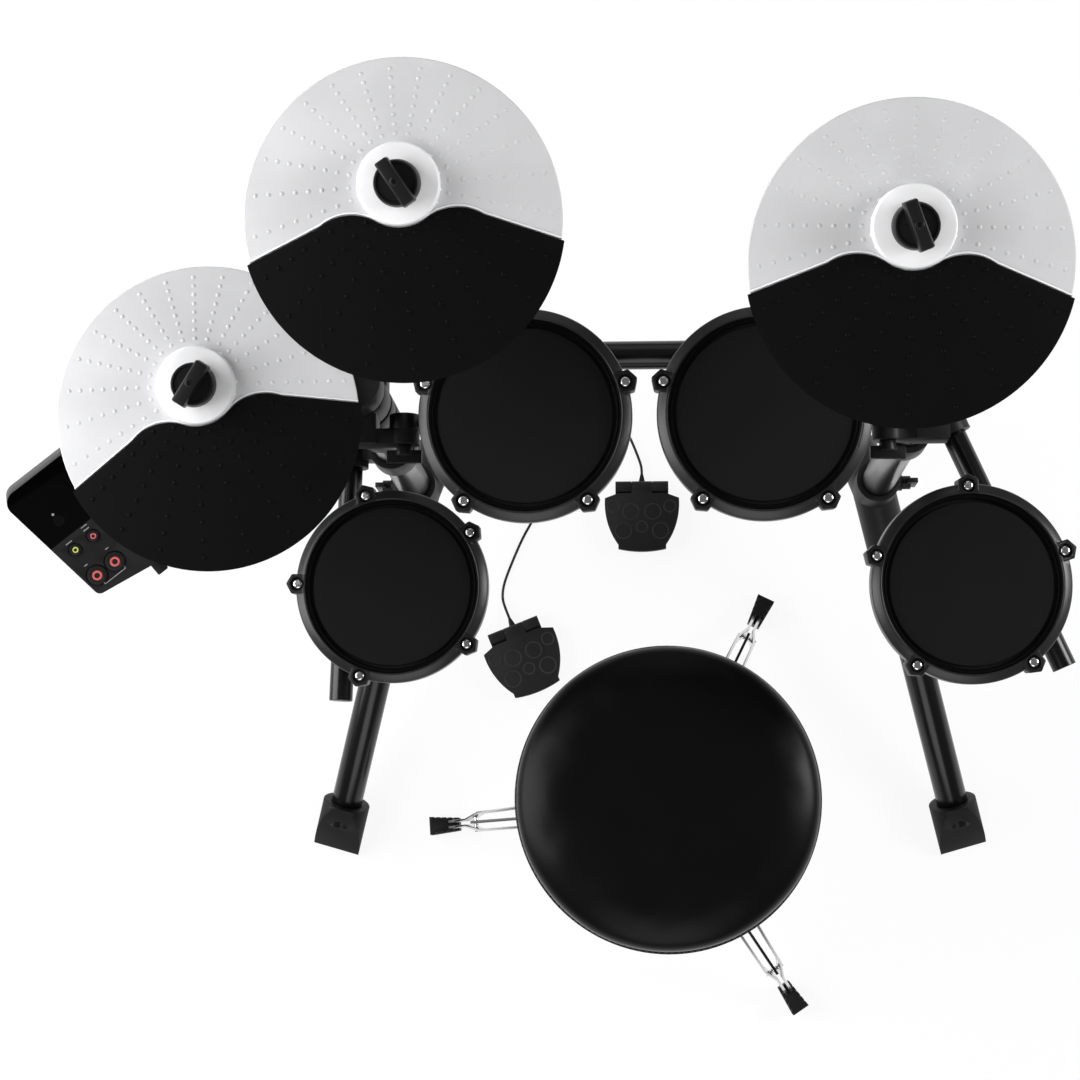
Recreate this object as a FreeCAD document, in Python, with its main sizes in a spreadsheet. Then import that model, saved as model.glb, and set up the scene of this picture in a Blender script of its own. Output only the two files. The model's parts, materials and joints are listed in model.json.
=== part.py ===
"""Compact electronic drum kit: tube rack, four mesh pads, three cymbal pads, sound module,
two switch pedals and a round throne. Millimetres, +Z up, the drummer sits on the -Y side."""
import FreeCAD, Part
import Sketcher
import math
import os
import re
from types import SimpleNamespace

V = FreeCAD.Vector
UP = V(0, 0, 1)
SIDEWAYS = V(1, 0, 0)
BACKWARDS = V(0, 1, 0)

# Driving dimensions in millimetres and degrees. Places along the posts are heights over the floor.
SIZES = {
    # Where the rack stands in the kit's frame
    "rack_middle_x": 91.2,
    "post_line_y": 141.1,
    "post_spacing": 484.0,
    # Tubes and fits
    "leg_tube_radius": 16.9,
    "leg_tube_wall": 1.6,
    "bar_tube_radius": 12.7,
    "arm_tube_radius": 11.1,
    "thin_tube_wall": 1.5,
    "tube_fit": 0.1,
    "running_fit": 0.05,
    "moving_gap": 0.35,
    # Legs, hubs and feet
    "front_leg_reach": 391.2,
    "front_leg_slope": 22.5,
    "rear_leg_reach": 290.0,
    "leg_splay": 15.9,
    "hub_core": 14.0,
    "hub_wall": 5.5,
    "hub_front_length": 72.0,
    "hub_rear_length": 62.0,
    "hub_mouth_length": 52.0,
    "foot_radius": 26.0,
    "foot_overlap": 26.0,
    "foot_nose": 16.0,
    "foot_nose_lean": 42.0,
    "foot_sole": 5.0,
    # Posts, crossbar and their clamps
    "post_length": 516.0,
    "clamp_wall": 5.5,
    "clamp_height": 40.0,
    "clamp_web": 24.0,
    "crossbar_height": 560.0,
    "crossbar_behind": 54.2,
    "crossbar_overhang": 22.0,
    "hihat_clamp_at": 602.0,
    "side_clamp_height": 30.0,
    "rod_boss_wall": 4.5,
    "rod_boss_length": 46.0,
    "rod_cap_overlap": 26.0,
    "rod_cap_top": 9.0,
    "side_cap_top": 3.0,
    "side_cap_drop": 16.0,
    "rod_grip": 22.0,
    # Tom holders
    "tom_spread": 198.0,
    "tom_rod_at": 646.0,
    "tom_rod_ahead": 23.6,
    "tom_clamp_height": 42.0,
    "tilter_offset": 37.0,
    "tilter_radius": 13.0,
    "tilter_thickness": 13.0,
    "tilter_block": 28.0,
    "tilter_bar_height": 20.0,
    "pad_rod_radius": 5.0,
    "pad_rod_beyond": 22.0,
    # Swinging arms
    "left_arm_at": 410.0,
    "right_arm_at": 465.0,
    "arm_offset": 40.0,
    "arm_tail": 26.0,
    "left_arm_angle": 1.8,
    "right_arm_angle": 23.4,
    "left_arm_reach": 243.5,
    "right_arm_reach": 255.7,
    "arm_clamp_height": 38.0,
    "snare_along": 138.4,
    "snare_inside": 52.5,
    "floor_tom_along": 152.3,
    "floor_tom_inside": 57.05,
    "pad_rod_rise": 18.0,
    "holder_length": 28.0,
    # Wing bolts
    "bolt_radius": 4.0,
    "bolt_stem": 10.0,
    "bolt_boss_rise": 3.0,
    "bolt_hub_radius": 7.0,
    "bolt_hub_length": 9.0,
    "bolt_wing_span": 30.0,
    "bolt_wing_height": 11.0,
    "bolt_wing_thickness": 5.0,
    # Mesh pads
    "head_radius": 71.5,
    "head_flange_radius": 79.5,
    "head_flange_drop": 3.0,
    "head_thickness": 1.5,
    "shell_radius": 81.0,
    "shell_wall": 4.0,
    "shell_depth": 40.0,
    "shell_corner": 11.0,
    "hoop_radius": 89.0,
    "hoop_inner_radius": 75.5,
    "hoop_top": 5.0,
    "hoop_bottom": 18.0,
    "hoop_edge": 3.0,
    "hoop_gap": 0.3,
    "lug_circle_radius": 87.5,
    "lug_radius": 10.5,
    "lug_drop": 1.0,
    "lug_count": 5,
    "screw_radius": 2.5,
    "screw_head_radius": 4.6,
    "screw_head_height": 3.2,
    "screw_recess_radius": 6.4,
    "screw_recess_depth": 3.6,
    "screw_below": 4.0,
    "bracket_width": 36.0,
    "bracket_depth": 24.0,
    "bracket_below": 9.0,
    "pad_pivot_drop": 52.0,
    "trigger_plate_radius": 45.0,
    "trigger_plate_thickness": 2.0,
    "trigger_plate_drop": 20.0,
    "trigger_stem_radius": 12.0,
    "trigger_cone_radius": 14.0,
    "trigger_cone_tip": 8.0,
    "tom_tilt": 6.0,
    "snare_tilt": 4.0,
    "floor_tom_tilt": 5.0,
    "tom_lug_turn": 18.0,
    "snare_lug_turn": 36.0,
    "floor_tom_lug_turn": -4.0,
    # Cymbal pads
    "plate_radius": 125.0,
    "plate_rise": 10.0,
    "plate_thickness": 2.4,
    "hub_offset": 27.0,
    "cup_boss_radius": 32.5,
    "cup_boss_top_radius": 29.5,
    "cup_boss_height": 9.0,
    "under_boss_radius": 16.0,
    "under_boss_height": 1.0,
    "hub_hole_radius": 7.0,
    "strike_thickness": 2.2,
    "strike_overhang": 2.4,
    "strike_corner_y": -26.0,
    "strike_crest_x": 40.0,
    "strike_crest_y": 6.0,
    "strike_shoulder_x": 64.0,
    "strike_shoulder_y": -1.2,
    "strike_saddle_x": 21.0,
    "strike_saddle_y": 0.2,
    "strike_dip_y": -6.5,
    "cymbal_rod_radius": 6.0,
    "cymbal_rod_bend": 22.0,
    "cymbal_rod_rise": 46.0,
    "cymbal_stud_radius": 4.0,
    "cymbal_stud_length": 34.0,
    "cymbal_rod_straight": 60.0,
    "seat_cup_radius": 12.0,
    "seat_cup_base_radius": 15.0,
    "seat_cup_height": 11.0,
    "seat_gap": 0.95,
    "nut_spigot_radius": 12.0,
    "nut_spigot_height": 3.0,
    "nut_radius": 18.5,
    "nut_height": 13.0,
    "nut_wing_span": 40.0,
    "nut_wing_width": 11.0,
    "nut_wing_height": 13.0,
    "nut_bore_depth": 24.0,
    "crash_hub_x": 52.9,
    "crash_hub_y": 123.9,
    "crash_hub_z": 844.0,
    "crash_tilt": 15.0,
    "crash_facing": 3.8,
    "crash_wing_turn": -60.0,
    "ride_hub_x": -36.3,
    "ride_hub_y": 82.0,
    "ride_hub_z": 851.0,
    "ride_tilt": 15.0,
    "ride_facing": -1.4,
    "ride_wing_turn": -68.0,
    "hihat_hub_x": -126.4,
    "hihat_hub_y": -7.5,
    "hihat_hub_z": 726.0,
    "hihat_tilt": 10.0,
    "hihat_facing": 17.0,
    "hihat_wing_turn": 41.0,
    "hihat_rod_straight": 104.0,
    "crash_rod_straight": 128.0,
    # Sound module
    "module_width": 218.5,
    "module_depth": 130.8,
    "module_height": 34.0,
    "module_corner": 12.0,
    "module_front_width": 193.3,
    "module_front_rise": 9.7,
    "module_front_flat": 72.0,
    "module_front_corner": 6.0,
    "module_front_bend": 40.0,
    "module_wall": 2.0,
    "module_cover": 3.0,
    "module_x": -205.0,
    "module_y": -58.0,
    "module_z": 565.0,
    "module_turn": 38.5,
    "module_tilt": 28.0,
    "module_pivot_drop": 48.0,
    "module_ear_width": 44.0,
    "module_ear_depth": 26.0,
    "module_ear_below": 11.0,
    "module_rod_run": 120.0,
    "module_rod_end": 26.0,
    "board_width": 164.0,
    "board_depth": 100.0,
    "board_thickness": 1.6,
    "board_drop": 15.0,
    "standoff_radius": 4.0,
    "standoff_inset": 6.0,
    "small_button_radius": 5.4,
    "big_button_radius": 9.0,
    "button_gap": 0.35,
    "button_proud": 1.6,
    "button_lip": 0.9,
    "button_lip_thickness": 2.0,
    "button_travel": 1.2,
    "switch_size": 6.0,
    "button_left_x": -86.0,
    "button_right_x": -66.0,
    "small_button_y": -9.5,
    "big_button_y": -40.0,
    # Switch pedals
    "pedal_strip_half": 30.0,
    "pedal_strip_depth": 12.0,
    "pedal_shoulder_half": 42.0,
    "pedal_shoulder_y": 20.0,
    "pedal_belly_half": 38.5,
    "pedal_belly_y": 50.0,
    "pedal_toe_half": 27.0,
    "pedal_toe_y": 73.0,
    "pedal_length": 78.0,
    "pedal_toe_bulge": 3.2,
    "pedal_base_height": 8.0,
    "pedal_base_inset": 3.0,
    "pedal_hinge_at": 15.5,
    "pedal_hinge_radius": 7.0,
    "pedal_pin_radius": 2.5,
    "pedal_knuckle_half": 12.0,
    "treadle_bottom": 14.0,
    "treadle_thickness": 7.0,
    "pedal_dome_radius": 9.0,
    "pedal_dome_height": 1.5,
    "pedal_dome_y": 58.0,
    "pedal_boot_radius": 4.0,
    "pedal_boot_length": 10.0,
    "pedal_cord_at": 6.0,
    "kick_pedal_x": -3.7,
    "kick_pedal_y": 38.5,
    "kick_pedal_turn": 0.0,
    "hihat_pedal_x": -151.3,
    "hihat_pedal_y": -125.6,
    "hihat_pedal_turn": 21.8,
    # Throne
    "throne_x": 19.5,
    "throne_y": -332.8,
    "throne_turn": 3.9,
    "throne_reach": 229.0,
    "throne_tube_radius": 14.5,
    "throne_tube_bottom": 92.0,
    "throne_tube_top": 285.0,
    "throne_grip": 14.0,
    "throne_bolt_turn": 120.0,
    "seat_post_radius": 11.0,
    "seat_post_inside": 85.0,
    "seat_flange_radius": 62.0,
    "seat_flange_thickness": 4.0,
    "seat_board_radius": 134.0,
    "seat_board_thickness": 8.0,
    "seat_under": 339.0,
    "seat_radius": 147.0,
    "seat_thickness": 66.0,
    "seat_crown": 12.0,
    "seat_tuck": 7.0,
    "collar_radius": 24.0,
    "collar_height": 20.0,
    "upper_collar_at": 232.0,
    "lower_collar_at": 104.0,
    "leg_bar_thickness": 3.0,
    "leg_bar_height": 10.0,
    "leg_bar_spread": 13.0,
    "leg_bar_bend_spread": 9.5,
    "leg_bar_bend_back": 39.0,
    "leg_bar_bend_radius": 10.0,
    "leg_bar_foot_spread": 3.2,
    "leg_bar_pinch_back": 24.0,
    "leg_bar_foot_at": 20.0,
    "leg_rivet_radius": 2.4,
    "leg_rivet_back": 33.0,
    "leg_rivet_head": 1.2,
    "throne_foot_length": 33.0,
    "throne_foot_width": 20.0,
    "throne_foot_inner_width": 14.0,
    "throne_foot_grooves": 4,
    "throne_foot_groove": 2.4,
    "throne_foot_groove_depth": 1.6,
    "throne_foot_height": 27.0,
    "throne_foot_grip": 12.0,
    # Pedal leads
    "cord_radius": 1.5,
    "cord_lead": 6.0,
    "coil_outer_radius": 26.5,
    "coil_pitch": 3.7,
    "coil_layer": 3.6,
    "coil_lift": 2.7,
    "coil_tail": 27.0,
    "plug_radius": 6.2,
    "plug_length": 34.0,
    "plug_boot_radius": 3.4,
    "plug_boot_length": 9.0,
    "plug_tip_radius": 3.15,
    "plug_tip_length": 28.0,
    "tie_width": 6.0,
    "tie_thickness": 0.8,
    "tie_gap": 0.4,
}
S = SimpleNamespace(**SIZES)

# Routes of the two pedal leads over the floor, from where they leave the pedal's boot to the start of each
# coil, counted from the floor under the middle of the post line
KICK_ROUTE = [
    (-5.0, 61.0, 3.6), (-8.0, 70.0, 2.0), (-11.4, 79.0, 1.7), (-16.2, 90.5, 1.7),
    (-23.5, 105.0, 1.7), (-36.0, 122.5, 1.9), (-52.5, 136.0, 2.3), (-69.0, 143.0, 2.7),
    (-81.0, 143.0, 2.7),
]
HIHAT_ROUTE = [
    (-160.0, -103.8, 3.8), (-162.9, -95.0, 2.1), (-163.0, -84.5, 1.7), (-160.0, -71.5, 1.7),
    (-151.0, -48.5, 1.7), (-140.0, -23.0, 1.7), (-129.0, -4.0, 1.9), (-122.5, 10.0, 2.4),
    (-119.5, 21.5, 2.7), (-119.5, 30.0, 2.7),
]
# Half turns of a coil as shares of half its pitch: inward, a climb in place, and outward again
COIL_INWARD = [-1.0] * 8 + [-1.4]
COIL_OUTWARD = [1.4] + [1.0] * 7

doc = FreeCAD.newDocument("drum_kit")
sheet = doc.addObject("Spreadsheet::Sheet", "sizes")
for row, (size_name, size_value) in enumerate(SIZES.items(), start=1):
    sheet.set("A%d" % row, size_name)
    sheet.set("B%d" % row, str(size_value))
    sheet.setAlias("B%d" % row, size_name)
doc.recompute()

NODES = {}
JOINTS = {}
BOLTS = []


def bound(expression):
    """The expression with every driving dimension read from its cell of the sheet."""
    return re.sub(r"[a-z_]+", lambda word: "sizes." + word[0] if word[0] in SIZES else word[0], expression)


def bind(item, **properties):
    """Sets an object's properties, binding those written as expressions to the sheet."""
    for name, value in properties.items():
        if isinstance(value, str):
            item.setExpression(name, bound(value))
        else:
            setattr(item, name, value)
    return item


def add(kind, name, place=None, **properties):
    """A new object of the document with its sizes and its place."""
    item = bind(doc.addObject(kind, name), **properties)
    if place is not None:
        item.Placement = place
    return item


def at(point, direction=UP):
    """The place whose +Z runs along the direction from the point."""
    return FreeCAD.Placement(point, FreeCAD.Rotation(UP, direction))


def facing(point, x_axis, z_axis):
    """The place with the given X and Z axes."""
    y_axis = z_axis.cross(x_axis)
    return FreeCAD.Placement(point, FreeCAD.Rotation(x_axis, y_axis, z_axis, "ZXY"))


def cylinder(name, radius, height, place=None):
    return add("Part::Cylinder", name, place, Radius=radius, Height=height)


def cylinder_between(name, radius, start, end):
    return cylinder(name, radius, (end - start).Length, at(start, end - start))


def block(name, low, high):
    """A box between two corners, each coordinate a number."""
    place = FreeCAD.Placement(V(*low), FreeCAD.Rotation())
    return add("Part::Box", name, place, Length=high[0] - low[0], Width=high[1] - low[1], Height=high[2] - low[2])


def fuse(name, *shapes):
    return add("Part::MultiFuse", name, Shapes=list(shapes), Refine=True)


def cut(name, base, *tools):
    tool = tools[0] if len(tools) == 1 else fuse(name + "_tools", *tools)
    return add("Part::Cut", name, Base=base, Tool=tool, Refine=True)


def common(name, base, tool):
    return add("Part::Common", name, Base=base, Tool=tool)


def group(name, shapes):
    return add("Part::Compound", name, Links=list(shapes))


def node(name, item):
    """Keeps a finished sub-part under its own label."""
    item.Label = name
    NODES[name] = item
    return item


def joint(name, point, axis):
    JOINTS[name] = (point, axis)


def tube(name, radius, wall, start, end):
    outer = cylinder_between(name + "_outer", radius, start, end)
    inner = cylinder_between(name + "_bore", "%s - %s" % (radius, wall), start, end)
    return cut(name, outer, inner)


def origin_plane(body, role):
    return next(feature for feature in body.Origin.OriginFeatures if feature.Role == role)


def revolved(name, profile):
    """A body revolved about Z from (radius, height) points written as expressions."""
    body = doc.addObject("PartDesign::Body", name)
    sketch = body.newObject("Sketcher::SketchObject", name + "_profile")
    sketch.AttachmentSupport = [(origin_plane(body, "XZ_Plane"), "")]
    sketch.MapMode = "FlatFace"
    count = len(profile)
    for i in range(count):
        start = 2 * math.pi * i / count
        end = 2 * math.pi * (i + 1) / count
        rough_start = V(60 + 40 * math.cos(start), 40 * math.sin(start), 0)
        rough_end = V(60 + 40 * math.cos(end), 40 * math.sin(end), 0)
        sketch.addGeometry(Part.LineSegment(rough_start, rough_end))
    for i in range(count):
        sketch.addConstraint(Sketcher.Constraint("Coincident", i, 2, (i + 1) % count, 1))
    for i, point in enumerate(profile):
        for kind, expression in zip(("DistanceX", "DistanceY"), point):
            index = sketch.addConstraint(Sketcher.Constraint(kind, -1, 1, i, 1, 1.0 + i))
            sketch.setExpression("Constraints[%d]" % index, bound(expression))
    turn = body.newObject("PartDesign::Revolution", name + "_turn")
    turn.Profile = sketch
    turn.ReferenceAxis = (sketch, ["V_Axis"])
    turn.Angle = 360.0
    return body


def rounded_path(points, radii):
    """Edges of straight runs joined by tangent arcs, one radius for each inner point."""
    edges = []
    last = points[0]
    for i, radius in enumerate(radii, start=1):
        corner = points[i]
        inward = (points[i - 1] - corner).normalize()
        outward = (points[i + 1] - corner).normalize()
        half_turn = (math.pi - inward.getAngle(outward)) / 2
        setback = radius * math.tan(half_turn)
        start = corner + inward * setback
        end = corner + outward * setback
        middle_way = (inward + outward).normalize()
        middle = corner + middle_way * (radius / math.cos(half_turn) - radius)
        edges.append(Part.LineSegment(last, start).toShape())
        edges.append(Part.Arc(start, middle, end).toShape())
        last = end
    edges.append(Part.LineSegment(last, points[-1]).toShape())
    return edges


def widest_radii(points):
    """The largest arc at each inner point of a cord's route: 0.45 of its shorter run."""
    radii = []
    for before, corner, after in zip(points, points[1:], points[2:]):
        shorter = min((corner - before).Length, (after - corner).Length)
        half_turn = (corner - before).getAngle(after - corner) / 2
        radii.append(0.45 * shorter / math.tan(half_turn))
    return radii


def piped(edges, radius):
    """A solid round bar along a path of tangent edges."""
    wire = Part.Wire(edges)
    start = wire.Edges[0].valueAt(wire.Edges[0].FirstParameter)
    direction = wire.Edges[0].tangentAt(wire.Edges[0].FirstParameter)
    ring = Part.Wire(Part.Circle(start, direction, radius).toShape())
    return wire.makePipeShell([ring], True, False)


def feature(name, shape):
    """A document object for a shape that no parametric feature makes."""
    item = doc.addObject("Part::Feature", name)
    item.Shape = shape
    return item


# Places that the rack's pieces share
def rack_x(side):
    return S.rack_middle_x + side * S.post_spacing / 2


def rack_floor():
    """The floor under the middle of the post line."""
    return V(S.rack_middle_x, S.post_line_y, 0)


def on_post(side, height):
    return V(rack_x(side), S.post_line_y, height)


def leg_direction(side, way, slope):
    """Unit vector down a leg: way -1 runs to the front foot, +1 to the rear foot."""
    splay = math.radians(S.leg_splay)
    slope = math.radians(slope)
    across = -way * side * math.sin(splay)
    return V(across * math.cos(slope), way * math.cos(splay) * math.cos(slope), -math.sin(slope))


LEFT, RIGHT = -1, 1
FRONT, REAR = -1, 1
LEG_END_HEIGHT = S.foot_sole + S.leg_tube_radius * math.cos(math.radians(S.front_leg_slope))
HUB_HEIGHT = LEG_END_HEIGHT + S.front_leg_reach * math.sin(math.radians(S.front_leg_slope))
REAR_LEG_SLOPE = math.degrees(math.asin((HUB_HEIGHT - LEG_END_HEIGHT) / S.rear_leg_reach))
POST_TOP = HUB_HEIGHT + S.hub_core + S.post_length
LEGS = [(side, way) for side in (LEFT, RIGHT) for way in (FRONT, REAR)]


def leg_axis(side, way):
    slope, reach = (S.front_leg_slope, S.front_leg_reach) if way == FRONT else (REAR_LEG_SLOPE, S.rear_leg_reach)
    return on_post(side, HUB_HEIGHT), leg_direction(side, way, slope), reach


# Rack legs, hubs and feet
def leg_tubes():
    tubes = []
    for side, way in LEGS:
        hub, down, reach = leg_axis(side, way)
        name = "leg_tube_%d%d" % (side + 1, way + 1)
        tubes.append(tube(name, "leg_tube_radius", "leg_tube_wall", hub + down * S.hub_core, hub + down * reach))
    node("leg_tubes", group("leg_tubes", tubes))


def leg_hub(side):
    """A moulded joint with a sleeve for each leg and a mouth for the post."""
    hub = on_post(side, HUB_HEIGHT)
    name = "hub_%d" % (side + 1)
    arms = [(UP, S.hub_mouth_length)]
    for way, length in ((FRONT, S.hub_front_length), (REAR, S.hub_rear_length)):
        arms.append((leg_axis(side, way)[1], length))
    sleeves = [add("Part::Sphere", name + "_core", at(hub), Radius="leg_tube_radius + hub_wall")]
    bores = []
    for i, (direction, length) in enumerate(arms):
        sleeves.append(cylinder("%s_sleeve_%d" % (name, i), "leg_tube_radius + hub_wall", length, at(hub, direction)))
        start = hub + direction * S.hub_core
        bores.append(cylinder("%s_bore_%d" % (name, i), "leg_tube_radius + tube_fit", length, at(start, direction)))
    boss, hole, bolt = seated_bolt(name + "_bolt", on_post(side, HUB_HEIGHT + S.hub_mouth_length * 0.7),
                                   SIDEWAYS * side, S.leg_tube_radius + S.hub_wall, S.leg_tube_radius)
    BOLTS.append(bolt)
    return cut(name, fuse(name + "_sleeves", boss, *sleeves), hole, *bores)


def rack_foot(side, way):
    """A rubber boot on the leg's end, flat on the floor, with a leaning nose."""
    hub, down, reach = leg_axis(side, way)
    name = "foot_%d%d" % (side + 1, way + 1)
    start = hub + down * (reach - S.foot_overlap)
    boot = cylinder(name + "_boot", "foot_radius", S.foot_overlap + S.foot_nose * 2, at(start, down))
    socket = cylinder(name + "_socket", "leg_tube_radius + tube_fit", S.foot_overlap, at(start, down))
    flat = V(down.x, down.y, 0).normalize()
    end = hub + down * reach
    room = 4 * S.foot_radius
    floor = block(name + "_floor", (end.x - room, end.y - room, -room), (end.x + room, end.y + room, 0))
    lean = math.radians(S.foot_nose_lean)
    nose_normal = flat * math.cos(lean) + UP * math.sin(lean)
    nose = cylinder(name + "_nose", room, room, at(end + flat * S.foot_nose, nose_normal))
    return cut(name, boot, socket, floor, nose)


def leg_hubs():
    node("leg_hubs", group("leg_hubs", [leg_hub(side) for side in (LEFT, RIGHT)]))


# Posts, crossbar and clamps
def posts():
    tubes = []
    for side in (LEFT, RIGHT):
        foot = on_post(side, HUB_HEIGHT + S.hub_core)
        tubes.append(tube("post_%d" % (side + 1), "leg_tube_radius", "leg_tube_wall", foot, on_post(side, POST_TOP)))
    node("posts", group("posts", tubes))


def crossbar():
    behind = BACKWARDS * S.crossbar_behind - SIDEWAYS * S.crossbar_overhang
    start = on_post(LEFT, S.crossbar_height) + behind
    end = on_post(RIGHT, S.crossbar_height) + behind + SIDEWAYS * 2 * S.crossbar_overhang
    node("crossbar", tube("crossbar", "bar_tube_radius", "thin_tube_wall", start, end))


def post_sleeve(name, side, height, length):
    """The outside and the bore of a clamp round a post."""
    low = on_post(side, height - length / 2)
    outer = cylinder(name + "_sleeve", "leg_tube_radius + clamp_wall", length, at(low))
    bore = cylinder(name + "_post_bore", "leg_tube_radius + tube_fit", length, at(low))
    return outer, bore


def crossbar_clamp(side):
    name = "crossbar_clamp_%d" % (side + 1)
    outer, bore = post_sleeve(name, side, S.crossbar_height, S.clamp_height)
    centre = on_post(side, S.crossbar_height)
    bar_start = centre + BACKWARDS * S.crossbar_behind - SIDEWAYS * S.clamp_height / 2
    bar_outer = cylinder(name + "_bar", "bar_tube_radius + clamp_wall", "clamp_height", at(bar_start, SIDEWAYS))
    bar_bore = cylinder(name + "_bar_bore", "bar_tube_radius + tube_fit", "clamp_height", at(bar_start, SIDEWAYS))
    half = S.clamp_web / 2
    web = block(name + "_web", (centre.x - half, centre.y, centre.z - half),
                (centre.x + half, centre.y + S.crossbar_behind, centre.z + half))
    boss, hole, bolt = seated_bolt(name + "_bolt", centre, SIDEWAYS * side, S.leg_tube_radius + S.clamp_wall,
                                   S.leg_tube_radius)
    BOLTS.append(bolt)
    return cut(name, fuse(name + "_body", outer, bar_outer, web, boss), bore, bar_bore, hole)


def tilter_at(side):
    """Where a tom's rod meets its tilter."""
    return on_post(side, S.tom_rod_at) + V(-side * S.tilter_offset, -S.tom_rod_ahead, 0)


def tom_clamp(side):
    """Post sleeve with a block in front, and the fixed half of the tilter on a short bar."""
    name = "tom_clamp_%d" % (side + 1)
    outer, bore = post_sleeve(name, side, S.tom_rod_at, S.tom_clamp_height)
    centre = on_post(side, S.tom_rod_at)
    tilter = tilter_at(side)
    back = tilter.y - S.tilter_thickness / 2
    front = back - S.tilter_thickness
    half = S.tilter_block / 2
    jaw = block(name + "_jaw", (centre.x - half, front, centre.z - half), (centre.x + half, centre.y, centre.z + half))
    reach = sorted((centre.x, tilter.x))
    half_bar = S.tilter_bar_height / 2
    bar = block(name + "_bar", (reach[0], front, centre.z - half_bar), (reach[1], back, centre.z + half_bar))
    disc = cylinder(name + "_disc", "tilter_radius", "tilter_thickness", at(V(tilter.x, back, tilter.z), -BACKWARDS))
    bolt_hole = cylinder(name + "_bolt_hole", "bolt_radius + tube_fit", "tilter_thickness",
                         at(V(tilter.x, back, tilter.z), -BACKWARDS))
    front_face = V(tilter.x, front, tilter.z)
    stem = cylinder(name + "_stem", "bolt_radius", "bolt_stem", at(front_face + BACKWARDS * S.bolt_stem, -BACKWARDS))
    BOLTS.append(fuse(name + "_bolt", stem, *bolt_wing(name + "_bolt", facing(front_face, SIDEWAYS, -BACKWARDS))))
    return cut(name, fuse(name + "_body", outer, jaw, bar, disc), bore, bolt_hole)


def rod_boss_clamp(name, side, height, direction):
    """Post sleeve with a boss that grips the end of a rod."""
    outer, bore = post_sleeve(name, side, height, S.side_clamp_height)
    start = on_post(side, height)
    boss = cylinder(name + "_boss", "cymbal_rod_radius + rod_boss_wall", "rod_boss_length", at(start, direction))
    hole = cylinder(name + "_hole", "cymbal_rod_radius + tube_fit", "rod_boss_length", at(start, direction))
    return cut(name, fuse(name + "_body", outer, boss), bore, hole)


def side_cap(name, side, direction):
    """A closed cap on the post's top with a boss that grips a rod leaving sideways."""
    low = on_post(side, POST_TOP - S.side_clamp_height)
    outer = cylinder(name + "_outer", "leg_tube_radius + clamp_wall", "side_clamp_height + side_cap_top", at(low))
    bore = cylinder(name + "_bore", "leg_tube_radius + tube_fit", "side_clamp_height", at(low))
    start = on_post(side, POST_TOP - S.side_cap_drop)
    boss = cylinder(name + "_boss", "cymbal_rod_radius + rod_boss_wall", "rod_boss_length", at(start, direction))
    hole = cylinder(name + "_hole", "cymbal_rod_radius + tube_fit", "rod_boss_length", at(start, direction))
    return cut(name, fuse(name + "_body", outer, boss), bore, hole)


def rod_cap(side):
    """A cap on the post's top that grips a cymbal rod."""
    name = "rod_cap_%d" % (side + 1)
    low = on_post(side, POST_TOP - S.rod_cap_overlap)
    outer = cylinder(name + "_outer", "leg_tube_radius + clamp_wall", "rod_cap_overlap + rod_cap_top", at(low))
    bore = cylinder(name + "_bore", "leg_tube_radius + tube_fit", "rod_cap_overlap", at(low))
    rod_hole = cylinder(name + "_hole", "cymbal_rod_radius + tube_fit", "rod_cap_overlap + rod_cap_top", at(low))
    boss, hole, bolt = seated_bolt(name + "_bolt", on_post(side, POST_TOP - S.rod_cap_overlap / 2), SIDEWAYS * side,
                                   S.leg_tube_radius + S.clamp_wall, S.leg_tube_radius)
    BOLTS.append(bolt)
    return cut(name, fuse(name + "_body", outer, boss), bore, rod_hole, hole)


def post_clamps():
    clamps = [make(side) for side in (LEFT, RIGHT) for make in (crossbar_clamp, tom_clamp)]
    clamps.append(rod_cap(RIGHT))
    clamps.append(side_cap("crash_cap", LEFT, side_rod_way("crash")))
    clamps.append(rod_boss_clamp("hihat_clamp", LEFT, S.hihat_clamp_at, side_rod_way("hihat")))
    node("post_clamps", group("post_clamps", clamps))


def bolt_wing(name, place):
    """The hub and wing of a clamping bolt, outside the face at the place."""
    hub = cylinder(name + "_hub", "bolt_hub_radius", "bolt_hub_length", place)
    wing = add("Part::Box", name + "_wing", Length="bolt_wing_span", Width="bolt_wing_thickness",
               Height="bolt_wing_height")
    corner = V(-S.bolt_wing_span / 2, -S.bolt_wing_thickness / 2, S.bolt_hub_length / 2)
    wing.Placement = place.multiply(FreeCAD.Placement(corner, FreeCAD.Rotation()))
    return [hub, wing]


def seated_bolt(name, axis_point, direction, sleeve_radius, tube_radius):
    """A boss with its hole on a round sleeve, and the bolt in it that presses on the tube."""
    reach = sleeve_radius + S.bolt_boss_rise
    boss = cylinder(name + "_boss", "bolt_hub_radius + bolt_boss_rise / 2", reach, at(axis_point, direction))
    hole = cylinder(name + "_hole", "bolt_radius + tube_fit", reach, at(axis_point, direction))
    stem_start = tube_radius + S.moving_gap
    stem = cylinder(name + "_stem", "bolt_radius", reach - stem_start,
                    at(axis_point + direction * stem_start, direction))
    place = facing(axis_point + direction * reach, UP, direction)
    return boss, hole, fuse(name, stem, *bolt_wing(name, place))


# Rods that carry cymbals and toms
def cymbal_frame(name, side):
    """The place of a cymbal: origin at its seat, X across, Y away from the drummer, Z out of the plate."""
    hub = on_post(side, 0) + V(getattr(S, name + "_hub_x"), getattr(S, name + "_hub_y"), getattr(S, name + "_hub_z"))
    turn = FreeCAD.Rotation(UP, getattr(S, name + "_facing"))
    tilt = FreeCAD.Rotation(SIDEWAYS, getattr(S, name + "_tilt"))
    return FreeCAD.Placement(hub, turn.multiply(tilt))


CYMBALS = {"crash": LEFT, "ride": RIGHT, "hihat": LEFT}


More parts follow.
